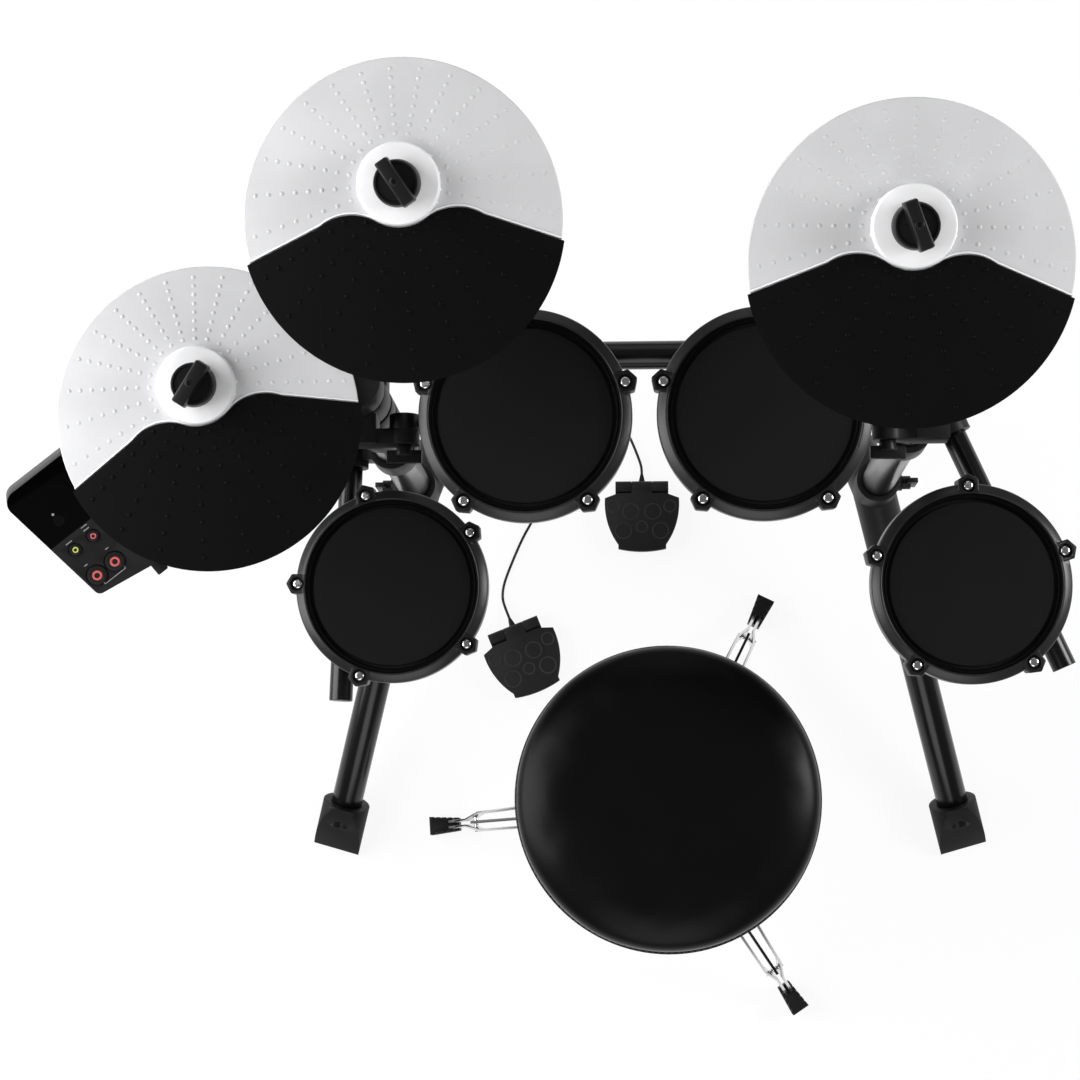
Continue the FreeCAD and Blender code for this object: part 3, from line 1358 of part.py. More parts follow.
def throne_leg(turn):
    """Two bars from the upper collar to the foot and a brace from the lower collar, held by one rivet."""
    name = "throne_leg_%d" % turn
    bars = [leg_bar("%s_bar_%d" % (name, sign + 1), turn, sign) for sign in (-1, 1)]
    radius = S.throne_reach + S.throne_foot_grip - S.leg_rivet_back
    height = leg_bar_height_at(radius)
    low = throne_point(S.collar_radius + S.leg_bar_thickness / 2, turn, S.lower_collar_at)
    brace = flat_bar(name + "_brace", low, throne_point(radius + S.leg_bar_height / 2, turn, height))
    reach = S.leg_bar_bend_spread + S.leg_rivet_head
    rivet = cylinder_between(name + "_rivet", "leg_rivet_radius", throne_point(radius, turn, height, -reach),
                             throne_point(radius, turn, height, reach))
    return fuse(name, brace, rivet, *bars)


def throne_legs():
    node("throne_legs", group("throne_legs", [throne_leg(turn) for turn in LEG_TURNS]))


def collar(name, height):
    return cylinder(name, "collar_radius", "collar_height", at(throne_point(0, 0, height - S.collar_height / 2)))


def throne_tube():
    """The outer tube with the two collars that carry the legs."""
    low = throne_point(0, 0, S.throne_tube_bottom)
    outer = cylinder("throne_outer", "throne_tube_radius", "throne_tube_top - throne_tube_bottom", at(low))
    bore = cylinder("throne_bore", "seat_post_radius + running_fit", "throne_tube_top - throne_tube_bottom", at(low))
    grip_at = throne_point(0, 0, S.throne_tube_top - S.throne_grip)
    out = (throne_point(1, S.throne_bolt_turn, 0) - throne_point(0, 0, 0)).normalize()
    boss, hole, bolt = seated_bolt("throne_bolt", grip_at, out, S.throne_tube_radius, S.seat_post_radius)
    BOLTS.append(bolt)
    whole = fuse("throne_whole", outer, collar("upper_collar", S.upper_collar_at),
                 collar("lower_collar", S.lower_collar_at), boss)
    node("throne_tube", cut("throne_tube", whole, bore, hole))


def throne_foot(turn):
    """A rubber foot that widens outward, with grooved sides, on the ends of a leg's two bars."""
    name = "throne_foot_%d" % turn
    inner, outer = S.throne_foot_inner_width / 2, S.throne_foot_width / 2
    length = S.throne_foot_length
    corners = [V(0, -inner, 0), V(length, -outer, 0), V(length, outer, 0), V(0, inner, 0), V(0, -inner, 0)]
    sole = Part.Face(Part.makePolygon(corners))
    body = feature(name + "_body", sole.extrude(V(0, 0, S.throne_foot_height)))
    out = throne_point(1, turn, 0) - throne_point(0, turn, 0)
    frame = facing(throne_point(S.throne_reach, turn, 0), out, UP)
    grooves = []
    for i in range(S.throne_foot_grooves):
        x = length * (i + 1) / (S.throne_foot_grooves + 1)
        side = inner + (outer - inner) * x / length
        for sign in (-1, 1):
            reach = sorted((sign * (side - S.throne_foot_groove_depth), sign * (outer + S.throne_foot_groove_depth)))
            grooves.append(block("%s_groove_%d_%d" % (name, i, sign + 1),
                                 (x - S.throne_foot_groove / 2, reach[0], S.foot_sole),
                                 (x + S.throne_foot_groove / 2, reach[1], 2 * S.throne_foot_height)))
    ribbed = cut(name + "_ribbed", body, *grooves)
    ribbed.Placement = frame
    slots = []
    for sign in (-1, 1):
        pinch, end = leg_bar_points(turn, sign)[2:]
        along = (end - pinch).normalize()
        across = along.cross(UP).normalize()
        normal = across.cross(along)
        slot = add("Part::Box", "%s_slot_%d" % (name, sign + 1), Length=(end - pinch).Length + S.tube_fit,
                   Width="leg_bar_thickness + 2 * tube_fit", Height="leg_bar_height + 2 * tube_fit")
        corner = pinch + across * (S.leg_bar_thickness / 2 + S.tube_fit) - normal * (S.leg_bar_height / 2 + S.tube_fit)
        slot.Placement = facing(corner, along, normal)
        slots.append(slot)
    return cut(name, ribbed, *slots)


def print_soles():
    """Points on the flat soles that the kit stands on."""
    for side, way in LEGS:
        hub, down, reach = leg_axis(side, way)
        end = hub + down * reach
        name = "%s_%s_foot" % ("front" if way == FRONT else "rear", "left" if side == LEFT else "right")
        print("sole", name, end.x, end.y, 0)
    for i, turn in enumerate(LEG_TURNS):
        sole = throne_point(S.throne_reach + S.throne_foot_length / 2, turn, 0)
        print("sole throne_foot_%s" % "abc"[i], sole.x, sole.y, 0)


def rubber_feet():
    feet = [rack_foot(side, way) for side, way in LEGS] + [throne_foot(turn) for turn in LEG_TURNS]
    node("rubber_feet", group("rubber_feet", feet))


def seat_post():
    """The inner post with the flange that the seat turns on."""
    low = S.throne_tube_top - S.seat_post_inside
    post = cylinder("seat_post_bar", "seat_post_radius", "seat_under - throne_tube_top + seat_post_inside",
                    at(throne_point(0, 0, low)))
    flange = cylinder("seat_flange", "seat_flange_radius", "seat_flange_thickness",
                      at(throne_point(0, 0, S.seat_under)))
    node("seat_post", fuse("seat_post", post, flange))
    joint("seat_lift", throne_point(0, 0, S.throne_tube_top), UP)


def seat_cushion():
    """The padded seat, crowned and drawn in at its lower edge, on its plywood board."""
    low = S.seat_under + S.seat_flange_thickness + S.moving_gap
    board = cylinder("seat_board", "seat_board_radius", "seat_board_thickness", at(throne_point(0, 0, low)))
    bottom = low + S.seat_board_thickness
    top = low + S.seat_thickness
    shoulder = top - S.seat_crown
    edge = S.seat_radius - S.seat_tuck
    middle = (bottom + shoulder) / 2
    corner = S.seat_radius - S.seat_tuck / 2
    crown_radius = (corner ** 2 + S.seat_crown ** 2) / (2 * S.seat_crown)
    crown_drop = crown_radius - math.sqrt(crown_radius ** 2 - (corner * 0.6) ** 2)
    # Profile from the axis along the bottom, up the swelling side and over the crown
    outline = [
        Part.LineSegment(V(0, 0, bottom), V(edge, 0, bottom)),
        Part.Arc(V(edge, 0, bottom), V(S.seat_radius, 0, middle), V(corner, 0, shoulder)),
        Part.Arc(V(corner, 0, shoulder), V(corner * 0.6, 0, top - crown_drop), V(0, 0, top)),
        Part.LineSegment(V(0, 0, top), V(0, 0, bottom)),
    ]
    face = Part.Face(Part.Wire([edge_line.toShape() for edge_line in outline]))
    cushion = feature("seat_pad", face.revolve(V(), UP, 360))
    cushion.Placement = at(throne_point(0, 0, 0))
    node("seat_cushion", group("seat_cushion", [cushion, board]))
    joint("seat_turn", throne_point(0, 0, low), UP)


def clamp_bolts():
    node("clamp_bolts", group("clamp_bolts", BOLTS))


# Pedal leads
def biarc(start, start_way, end, end_way):
    """Two tangent arcs from one point and direction to another."""
    chord = end - start
    both = start_way + end_way
    square = 2 * (1 - start_way.dot(end_way))
    linear = chord.dot(both)
    reach = (math.sqrt(linear ** 2 + square * chord.dot(chord)) - linear) / square
    first = start + start_way * reach
    second = end - end_way * reach
    middle = (first + second) * 0.5
    return [arc_from(start, first, middle), arc_from(middle, second, end)]


def arc_from(start, corner, end):
    """The arc from start to end whose tangents meet at the corner."""
    half = (end - start).Length / 2
    chord_middle = (start + end) * 0.5
    rise = (corner - chord_middle).Length
    reach = (corner - start).Length
    depth = half * (reach - half) / rise
    return Part.Arc(start, chord_middle + (corner - chord_middle) * (depth / rise), end).toShape()


def coil_points(centre, start_angle):
    """Each half turn's point and direction: inward on the floor, up a layer, and outward again."""
    half_pitch = S.coil_pitch / 2
    radius = S.coil_outer_radius
    height = S.coil_lift
    steps = [(share * half_pitch, 0) for share in COIL_INWARD] + [(0, S.coil_layer)]
    steps += [(share * half_pitch, 0) for share in COIL_OUTWARD]
    points = []
    for i in range(len(steps) + 1):
        angle = math.radians(start_angle + 180 * i)
        way = V(-math.sin(angle), math.cos(angle), 0)
        points.append((centre + V(radius * math.cos(angle), radius * math.sin(angle), height), way))
        if i < len(steps):
            radius += steps[i][0]
            height += steps[i][1]
    return points


def coil_path(centre, start_angle):
    points = coil_points(centre, start_angle)
    first, first_way = points[0]
    last, last_way = points[-1]
    lead_in = 2 * S.cord_radius
    edges = [Part.LineSegment(first - first_way * lead_in, first).toShape()]
    for (start, start_way), (end, end_way) in zip(points, points[1:]):
        edges += biarc(start, start_way, end, end_way)
    edges.append(Part.LineSegment(last, last + last_way * S.coil_tail).toShape())
    return edges


def least_self_gap(edges, own_length):
    """The least distance between stretches of the path that lie over own_length apart, less a diameter."""
    wire = Part.Wire(edges)
    count = int(wire.Length / S.cord_radius)
    spots = wire.discretize(Number=count)
    apart = math.ceil(own_length * count / wire.Length)
    least = min((spots[i] - spots[j]).Length for i in range(count) for j in range(i + apart, count))
    return least - 2 * S.cord_radius


def pedal_lead(name, route, start_angle):
    """One lead: the stretch over the floor, the tied coil, and the plug's place at its end."""
    boot_end, boot_way = pedal_boot(name)
    points = [boot_end, boot_end + boot_way * S.cord_lead] + [rack_floor() + V(*point) for point in route]
    radii = widest_radii(points)
    print(name, "lead bend radii", [round(radius, 1) for radius in radii])
    edges = rounded_path(points, radii)
    stretch = piped(edges, S.cord_radius)
    length = sum(edge.Length for edge in edges)
    section = math.pi * S.cord_radius ** 2
    print(name, "stretch length", round(length, 1), "volume share", round(stretch.Volume / (section * length), 4))
    node(name + "_cord", feature(name + "_cord", stretch))

    angle = math.radians(start_angle)
    way = V(-math.sin(angle), math.cos(angle), 0)
    start = points[-1] + way * 2 * S.cord_radius
    centre = start - V(math.cos(angle), math.sin(angle), 0) * S.coil_outer_radius
    centre.z = 0
    coil_edges = coil_path(centre, start_angle)
    coil = piped(coil_edges, S.cord_radius)
    coil_length = sum(edge.Length for edge in coil_edges)
    print(name, "coil length", round(coil_length, 1), "volume share", round(coil.Volume / (section * coil_length), 4),
          "least self gap", round(least_self_gap(coil_edges, 12 * S.cord_radius), 2))
    node(name + "_cord_coil", feature(name + "_cord_coil", coil))

    last = coil_edges[-1]
    end = last.valueAt(last.LastParameter)
    return end, way, centre, start_angle


def plug(name, end, way):
    """A phone plug: tapered boot, barrel and tip on one axis."""
    boot = add("Part::Cone", name + "_boot", at(end, way), Radius1="cord_radius", Radius2="plug_boot_radius",
               Height="plug_boot_length")
    barrel_start = end + way * S.plug_boot_length
    barrel = cylinder(name + "_barrel", "plug_radius", "plug_length", at(barrel_start, way))
    tip = cylinder(name + "_tip", "plug_tip_radius", "plug_tip_length", at(barrel_start + way * S.plug_length, way))
    return fuse(name, boot, barrel, tip)


def cord_tie(name, centre, start_angle):
    """A flat band round all turns of the coil, on the side away from the lead."""
    angle = math.radians(start_angle + 180)
    out = V(math.cos(angle), math.sin(angle), 0)
    inner_radius = S.coil_outer_radius + sum(COIL_INWARD) * S.coil_pitch / 2
    near = math.sqrt((inner_radius - S.cord_radius) ** 2 - (S.tie_width / 2) ** 2) - S.tie_gap
    far = S.coil_outer_radius + S.cord_radius + S.tie_gap
    low = S.coil_lift - S.cord_radius - S.tie_gap
    high = S.coil_lift + S.coil_layer + S.cord_radius + S.tie_gap
    frame = facing(centre, out, UP)
    half = S.tie_width / 2
    wall = S.tie_thickness
    outer = block(name + "_outer", (near - wall, -half, low - wall), (far + wall, half, high + wall))
    inner = block(name + "_inner", (near, -half, low), (far, half, high))
    tie = cut(name, outer, inner)
    tie.Placement = frame
    return tie


def pedal_leads():
    pieces = []
    for name, route, start_angle in (("kick", KICK_ROUTE, 90), ("hihat", HIHAT_ROUTE, 0)):
        end, way, centre, angle = pedal_lead(name, route, start_angle)
        pieces.append(plug(name + "_plug", end, way))
        pieces.append(cord_tie(name + "_tie", centre, angle))
    node("cord_plugs", group("cord_plugs", pieces))


def main():
    leg_tubes()
    leg_hubs()
    rubber_feet()
    posts()
    crossbar()
    post_clamps()
    mount_rods()
    cymbal_cups()
    for name in CYMBALS:
        cymbal_plate(name)
        strike_pad(name)
        wing_nut(name)
    toms()
    swinging_arms()
    module_case()
    module_cover()
    circuit_board()
    module_buttons()
    module_bracket()
    pedals()
    throne_legs()
    throne_tube()
    seat_post()
    seat_cushion()
    clamp_bolts()
    pedal_leads()
    doc.recompute()
    failed = [item.Name for item in doc.Objects if {"Invalid", "Error"} & set(item.State)]
    if failed:
        raise RuntimeError("failed objects: %s" % failed)
    for name, item in NODES.items():
        if item.Shape.isNull() or not item.Shape.isValid() or not item.Shape.Solids:
            raise RuntimeError("bad shape: %s" % name)
    os.makedirs("parts", exist_ok=True)
    whole = FreeCAD.BoundBox()
    for name, item in NODES.items():
        item.Shape.exportStep("parts/%s.step" % name)
        whole.add(item.Shape.BoundBox)
    print(len(NODES), "nodes,", sum(len(item.Shape.Solids) for item in NODES.values()), "solids, box", whole)
    print_soles()
    for name, (point, axis) in JOINTS.items():
        print("joint", name, *(round(value, 4) for value in (*point, *axis)))


main()
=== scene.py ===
import json
import math

import bmesh
import bpy
from bpy.props import FloatProperty, FloatVectorProperty, IntProperty, PointerProperty
from mathutils import Matrix, Vector

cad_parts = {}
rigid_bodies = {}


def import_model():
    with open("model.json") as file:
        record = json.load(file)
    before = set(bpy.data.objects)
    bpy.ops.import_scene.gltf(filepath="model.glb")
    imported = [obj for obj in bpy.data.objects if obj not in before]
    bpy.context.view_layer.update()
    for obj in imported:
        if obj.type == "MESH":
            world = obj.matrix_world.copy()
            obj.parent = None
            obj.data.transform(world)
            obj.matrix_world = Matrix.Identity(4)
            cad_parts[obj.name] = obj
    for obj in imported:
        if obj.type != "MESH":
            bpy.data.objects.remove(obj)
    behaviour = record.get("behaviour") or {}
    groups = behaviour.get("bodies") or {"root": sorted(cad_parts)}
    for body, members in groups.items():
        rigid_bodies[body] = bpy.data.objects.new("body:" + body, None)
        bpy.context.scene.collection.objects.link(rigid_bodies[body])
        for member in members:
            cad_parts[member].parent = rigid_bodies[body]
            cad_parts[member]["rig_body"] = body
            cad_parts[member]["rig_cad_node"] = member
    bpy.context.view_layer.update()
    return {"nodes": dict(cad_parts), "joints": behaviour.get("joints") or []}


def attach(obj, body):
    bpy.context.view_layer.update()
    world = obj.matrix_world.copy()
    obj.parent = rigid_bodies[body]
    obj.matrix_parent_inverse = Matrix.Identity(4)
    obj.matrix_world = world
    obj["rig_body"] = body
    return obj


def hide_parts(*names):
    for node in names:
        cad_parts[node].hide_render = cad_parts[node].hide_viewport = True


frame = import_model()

bl_info = {
    "name": "Drum Kit Dressing",
    "version": (1, 0, 0),
    "blender": (4, 5, 0),
    "location": "View3D > Sidebar > Drum Kit",
    "description": "Dresses an electronic drum kit: pads, cymbals, rack, pedals, throne and leads",
    "category": "Object",
}

MM = 0.001


# Sizes and colours that a user would change
def length(name, about, millimetres):
    return FloatProperty(name=name, description=about, default=millimetres * MM, min=0.0, unit="LENGTH")


def count(name, about, number, least):
    return IntProperty(name=name, description=about, default=number, min=least)


def colour(name, about, red, green, blue):
    return FloatVectorProperty(
        name=name, description=about, default=(red, green, blue), size=3, min=0.0, max=1.0, subtype="COLOR")


class KitSizes(bpy.types.PropertyGroup):
    """Sizes of the details that the dressing adds to the frame."""

    dot_radius: length("Dot radius", "Radius of a raised dot on a cymbal", 2.1)
    dot_rows: count("Dot rows", "Rows of dots round a cymbal's hub", 24, 8)
    dots_a_row: count("Dots a row", "Dots from the hub to the edge", 8, 2)
    edge_round: length("Edge rounding", "Rounding of the moulded edges", 0.9)
    cord_thickness: length("Cord thickness", "Diameter of a pedal's lead", 3.0)
    stitch_length: length("Stitch length", "Length of a stitch in the seat's seam", 4.2)
    stitch_count: count("Stitches", "Stitches round the seat's seam", 150, 12)
    puff: length("Seat puff", "The most that the stuffing pushes the cover out", 1.0)


class KitColours(bpy.types.PropertyGroup):
    """Colours of the finishes."""

    tube: colour("Tube", "Black paint on the tubes and rods", 0.0025, 0.0025, 0.0027)
    moulding: colour("Moulding", "Black plastic of the clamps and shells", 0.009, 0.009, 0.0094)
    hoop: colour("Hoop", "Black of the pads' hoops", 0.009, 0.009, 0.0094)
    mesh: colour("Mesh", "Charcoal of the mesh heads", 0.0095, 0.0095, 0.0099)
    rubber: colour("Rubber", "Black of the feet and playing zones", 0.0028, 0.0028, 0.003)
    cymbal: colour("Cymbal", "Pale grey of the cymbals", 0.63, 0.63, 0.64)
    # Boss: a whiter copy of the cymbal grey, a painted highlight on the raised middle where it faces the
    # lamps.
    boss: colour("Boss", "White of a cymbal's raised middle", 0.92, 0.92, 0.93)
    vinyl: colour("Vinyl", "Black of the seat's cover", 0.0025, 0.0025, 0.0027)
    thread: colour("Thread", "Dark thread of the seam", 0.06, 0.06, 0.061)
    chrome: colour("Chrome", "Bright metal of the throne and the screws", 0.72, 0.72, 0.73)
    pedal: colour("Pedal", "Dark grey of the pedals", 0.010, 0.010, 0.0104)
    ring: colour("Ring", "Lighter grey of the rings on the pedals", 0.026, 0.026, 0.0265)
    gloss: colour("Gloss", "Gloss black of the module's face", 0.0012, 0.0012, 0.0013)
    panel: colour("Panel", "Matte grey of the module's button field", 0.011, 0.011, 0.0114)
    print_white: colour("Print", "Pale marks beside the buttons", 0.34, 0.34, 0.34)
    red: colour("Red", "Red of the lit rings", 0.66, 0.11, 0.105)
    yellow: colour("Yellow", "Yellow of the lit ring", 0.62, 0.66, 0.10)
    board: colour("Board", "Green of the circuit board", 0.02, 0.09, 0.035)
    floor: colour("Floor", "Pale floor", 0.94, 0.94, 0.94)


# Finishes: colour, roughness, metal, shine, grain per metre, grain depth in mm, coat, pattern
FINISHES = {
    "black_tube": ("tube", 0.24, 0.0, 0.40, 900, 0.010, 0.0, "grain"),
    "black_rod": ("tube", 0.36, 0.0, 0.34, 900, 0.012, 0.0, "grain"),
    "black_moulding": ("moulding", 0.45, 0.0, 0.20, 1500, 0.030, 0.0, "grain"),
    "black_bolt": ("moulding", 0.40, 0.0, 0.22, 1500, 0.024, 0.0, "grain"),
    "black_rubber": ("rubber", 0.52, 0.0, 0.24, 1100, 0.035, 0.0, "grain"),
    "pad_shell": ("moulding", 0.44, 0.0, 0.20, 1300, 0.030, 0.0, "grain"),
    "hoop_rubber": ("hoop", 0.34, 0.0, 0.45, 1700, 0.050, 0.0, "grain"),
    "hoop_band": ("gloss", 0.55, 0.0, 0.06, 1700, 0.030, 0.0, "grain"),
    "mesh_head": ("mesh", 0.72, 0.0, 0.03, 1000, 0.040, 0.0, "weave"),
    "cymbal_grey": ("cymbal", 0.40, 0.0, 0.45, 1600, 0.018, 0.0, "grain"),
    # Painted highlight: the whiter boss colour on a cymbal's raised middle and on the ridge along its
    # playing zone.
    "cymbal_painted_highlight": ("boss", 0.36, 0.0, 0.45, 1600, 0.010, 0.0, "grain"),
    "strike_rubber": ("rubber", 0.60, 0.0, 0.06, 1500, 0.045, 0.0, "grain"),
    "black_vinyl": ("vinyl", 0.34, 0.0, 0.12, 620, 0.030, 0.0, "hide"),
    "seam_thread": ("thread", 0.70, 0.0, 0.25, 2600, 0.060, 0.0, "grain"),
    "bright_bar": ("chrome", 0.16, 1.0, 0.50, 700, 0.006, 0.0, "grain"),
    "screw_chrome": ("chrome", 0.20, 1.0, 0.50, 1200, 0.008, 0.0, "grain"),
    "black_pedal": ("pedal", 0.50, 0.0, 0.20, 1500, 0.050, 0.0, "grain"),
    "pedal_ring": ("ring", 0.50, 0.0, 0.20, 1500, 0.030, 0.0, "grain"),
    "cord_rubber": ("rubber", 0.52, 0.0, 0.34, 1800, 0.020, 0.0, "grain"),
    "module_shell": ("moulding", 0.40, 0.0, 0.24, 1500, 0.026, 0.0, "grain"),
    "module_face": ("gloss", 0.10, 0.0, 0.012, 500, 0.003, 0.0, "grain"),
    "module_panel": ("panel", 0.50, 0.0, 0.18, 1700, 0.020, 0.0, "grain"),
    "pale_print": ("print_white", 0.60, 0.0, 0.30, 1500, 0.004, 0.0, "grain"),
    "red_button": ("red", 0.34, 0.0, 0.45, 1200, 0.006, 0.3, "grain"),
    "yellow_button": ("yellow", 0.34, 0.0, 0.45, 1200, 0.006, 0.3, "grain"),
    "board_green": ("board", 0.36, 0.0, 0.45, 500, 0.020, 0.2, "grain"),
}
CLOUD_SCALE = 22.0
CLOUD_LOW = 0.3
CLOUD_HIGH = 0.7
TINT_SPREAD = 0.04
SHINE_SPREAD = 0.05
BUMP_STRENGTH = 0.8
WAVE_SCALE = math.tau / 20


def texture(tree, kind, place, scale, **settings):
    """A texture node on the piece's own coordinates."""
    made = tree.nodes.new(kind)
    made.inputs["Scale"].default_value = scale
    for key, value in settings.items():
        made.inputs[key].default_value = value
    tree.links.new(place, made.inputs["Vector"])
    return made


def blended(tree, kind, first, second):
    made = tree.nodes.new("ShaderNodeMath")
    made.operation = kind
    tree.links.new(first, made.inputs[0])
    tree.links.new(second, made.inputs[1])
    return made.outputs[0]


def ranged(tree, value, start, end, low, high):
    """Maps a value from one range to another."""
    made = tree.nodes.new("ShaderNodeMapRange")
    for key, number in zip(("From Min", "From Max", "To Min", "To Max"), (start, end, low, high)):
        made.inputs[key].default_value = number
    tree.links.new(value, made.inputs["Value"])
    return made.outputs["Result"]


def mixed(tree, factor, first, second):
    made = tree.nodes.new("ShaderNodeMixShader")
    tree.links.new(factor, made.inputs["Fac"])
    tree.links.new(first, made.inputs[1])
    tree.links.new(second, made.inputs[2])
    return made.outputs["Shader"]


def grain_height(tree, place, grain):
    return texture(tree, "ShaderNodeTexNoise", place, grain, Detail=3.0).outputs["Fac"]


def weave_height(tree, place, grain):
    """Threads that cross at right angles, as in a single-ply mesh."""
    threads = []
    for direction in ("X", "Y"):
        wave = texture(tree, "ShaderNodeTexWave", place, grain * WAVE_SCALE)
        wave.bands_direction = direction
        threads.append(wave.outputs["Fac"])
    return blended(tree, "MAXIMUM", *threads)


def hide_height(tree, place, grain):
    """Small rounded cells with fine creases, as on upholstery vinyl."""
    cells = texture(tree, "ShaderNodeTexVoronoi", place, grain)
    cells.feature = "SMOOTH_F1"
    fine = texture(tree, "ShaderNodeTexNoise", place, grain * 3, Detail=4.0).outputs["Fac"]
    return blended(tree, "ADD", cells.outputs["Distance"], fine)


PATTERNS = {"grain": grain_height, "weave": weave_height, "hide": hide_height}


def finish(name):
    """The named finish: its colour clouded a little, its shine uneven, and its grain raised."""
    made = bpy.data.materials.get("kit_" + name)
    if made:
        return made
    tone, rough, metal, shine, grain, depth, coat, pattern = FINISHES[name]
    base = Vector(getattr(bpy.context.scene.kit_colours, tone))
    made = bpy.data.materials.new("kit_" + name)
    made.use_nodes = True
    tree = made.node_tree
    shader = tree.nodes["Principled BSDF"]
    shader.inputs["Metallic"].default_value = metal
    shader.inputs["Specular IOR Level"].default_value = shine
    shader.inputs["Coat Weight"].default_value = coat
    place = tree.nodes.new("ShaderNodeTexCoord").outputs["Object"]
    cloud = texture(tree, "ShaderNodeTexNoise", place, CLOUD_SCALE, Detail=4.0).outputs["Fac"]

    tint = tree.nodes.new("ShaderNodeValToRGB")
    dark, light = tint.color_ramp.elements
    dark.position = CLOUD_LOW
    light.position = CLOUD_HIGH
    dark.color = (*(base * (1 - TINT_SPREAD)), 1.0)
    light.color = (*(base * (1 + TINT_SPREAD)), 1.0)
    tree.links.new(cloud, tint.inputs["Fac"])
    tree.links.new(tint.outputs["Color"], shader.inputs["Base Color"])

    low, high = rough * (1 - SHINE_SPREAD), rough * (1 + SHINE_SPREAD)
    tree.links.new(ranged(tree, cloud, CLOUD_LOW, CLOUD_HIGH, low, high), shader.inputs["Roughness"])

    bump = tree.nodes.new("ShaderNodeBump")
    bump.inputs["Distance"].default_value = depth * MM
    bump.inputs["Strength"].default_value = BUMP_STRENGTH
    tree.links.new(PATTERNS[pattern](tree, place, grain), bump.inputs["Height"])
    tree.links.new(bump.outputs["Normal"], shader.inputs["Normal"])
    return made


# Modelling by hand
MERGE_DISTANCE = 1e-6
FLAT_ANGLE = 0.6
SORT_FROM = (0.37, 0.71, 1.23)


def clear():
    """Object mode, with nothing selected."""
    if bpy.context.object and bpy.context.object.mode != "OBJECT":
        bpy.ops.object.mode_set(mode="OBJECT")
    bpy.ops.object.select_all(action="DESELECT")


def only(piece):
    clear()
    piece.select_set(True)
    bpy.context.view_layer.objects.active = piece


def edit(piece):
    only(piece)
    bpy.ops.object.mode_set(mode="EDIT")
    bpy.ops.mesh.select_mode(type="VERT")
    bpy.ops.mesh.select_all(action="SELECT")


def close():
    bpy.ops.object.mode_set(mode="OBJECT")


def begun(name):
    """The primitive just added, under its own name."""
    piece = bpy.context.object
    piece.name = name
    piece.data.name = name
    return piece


def pick_faces(piece, wanted):
    """Selects the faces that are wanted, in edit mode."""
    bpy.ops.mesh.select_mode(type="FACE")
    mesh = bmesh.from_edit_mesh(piece.data)
    for face in mesh.faces:
        face.select_set(wanted(face))
    mesh.select_flush_mode()
    bmesh.update_edit_mesh(piece.data)


def tidy_mesh(piece):
    """Doubles merged, faces turned outwards, and all of it put in an order that is the same each run."""
    edit(piece)
    bpy.ops.mesh.remove_doubles(threshold=MERGE_DISTANCE)
    bpy.ops.mesh.normals_make_consistent(inside=False)
    cursor = bpy.context.scene.cursor
    cursor.location = SORT_FROM
    bpy.ops.mesh.sort_elements(type="CURSOR_DISTANCE", elements={"VERT", "EDGE", "FACE"})
    cursor.location = (0, 0, 0)
    close()


def turned(name, profile, steps=64):
    """A profile of (radius, height) in mm, drawn point by point and spun once round Z."""
    clear()
    bpy.ops.mesh.primitive_plane_add(size=0.01)
    piece = begun(name)
    edit(piece)
    bpy.ops.mesh.merge(type="CENTER")
    radius, height = profile[0]
    bpy.ops.transform.translate(value=(radius * MM, 0, height * MM))
    for next_radius, next_height in profile[1:]:
        step = ((next_radius - radius) * MM, 0, (next_height - height) * MM)
        bpy.ops.mesh.extrude_vertices_move(TRANSFORM_OT_translate={"value": step})
        radius, height = next_radius, next_height
    bpy.ops.mesh.select_all(action="SELECT")
    bpy.ops.mesh.spin(steps=steps, angle=math.tau, center=(0, 0, 0), axis=(0, 0, 1))
    close()
    tidy_mesh(piece)
    return piece


def slab(name, outline, low, high):
    """A plate of that outline in mm, extruded from the low height to the high one."""
    clear()
    bpy.ops.mesh.primitive_circle_add(vertices=len(outline), radius=0.01, fill_type="NGON")
    piece = begun(name)
    for vertex, (x, y) in zip(piece.data.vertices, outline):
        vertex.co = (x * MM, y * MM, low * MM)
    edit(piece)
    bpy.ops.mesh.extrude_region_move(TRANSFORM_OT_translate={"value": (0, 0, (high - low) * MM)})
    close()
    tidy_mesh(piece)
    return piece


def block(name, size, centre):
    """A box of that size about its centre, in mm."""
    clear()
    bpy.ops.mesh.primitive_cube_add(size=1)
    piece = begun(name)
    edit(piece)
    bpy.ops.transform.resize(value=[side * MM for side in size])
    bpy.ops.transform.translate(value=[x * MM for x in centre])
    close()
    return piece


def prism(name, sides, radius, low, high):
    return slab(name, [(radius * math.cos(math.tau * i / sides), radius * math.sin(math.tau * i / sides))
                       for i in range(sides)], low, high)


def modifier(piece, kind, **settings):
    """Adds a modifier with those settings and applies it."""
    made = piece.modifiers.new(kind.title(), kind)
    for key, value in settings.items():
        setattr(made, key, value)
    only(piece)
    bpy.ops.object.modifier_apply(modifier=made.name)


def smooth(piece, angle=38):
    only(piece)
    bpy.ops.object.shade_smooth_by_angle(angle=math.radians(angle))


def soften(piece, width, segments=2, angle=38):
    """Rounds the sharp edges by a width in mm."""
    modifier(piece, "BEVEL", width=width * MM, segments=segments, limit_method="ANGLE",
             angle_limit=math.radians(angle))
    smooth(piece, angle)


def combined(piece, tool, operation):
    modifier(piece, "BOOLEAN", object=tool, operation=operation, solver="EXACT")
    bpy.data.objects.remove(tool)


def placed(piece, matrix):
    """Moves a piece and puts its place into its mesh."""
    piece.matrix_world = matrix
    only(piece)
    bpy.ops.object.transform_apply(location=True, rotation=True, scale=True)
    return piece


def copied(piece, name, matrix=None):
    twin = piece.copy()
    twin.data = piece.data.copy()
    twin.name = name
    twin.data.name = name
    bpy.context.scene.collection.objects.link(twin)
    if matrix is not None:
        placed(twin, matrix)
    return twin


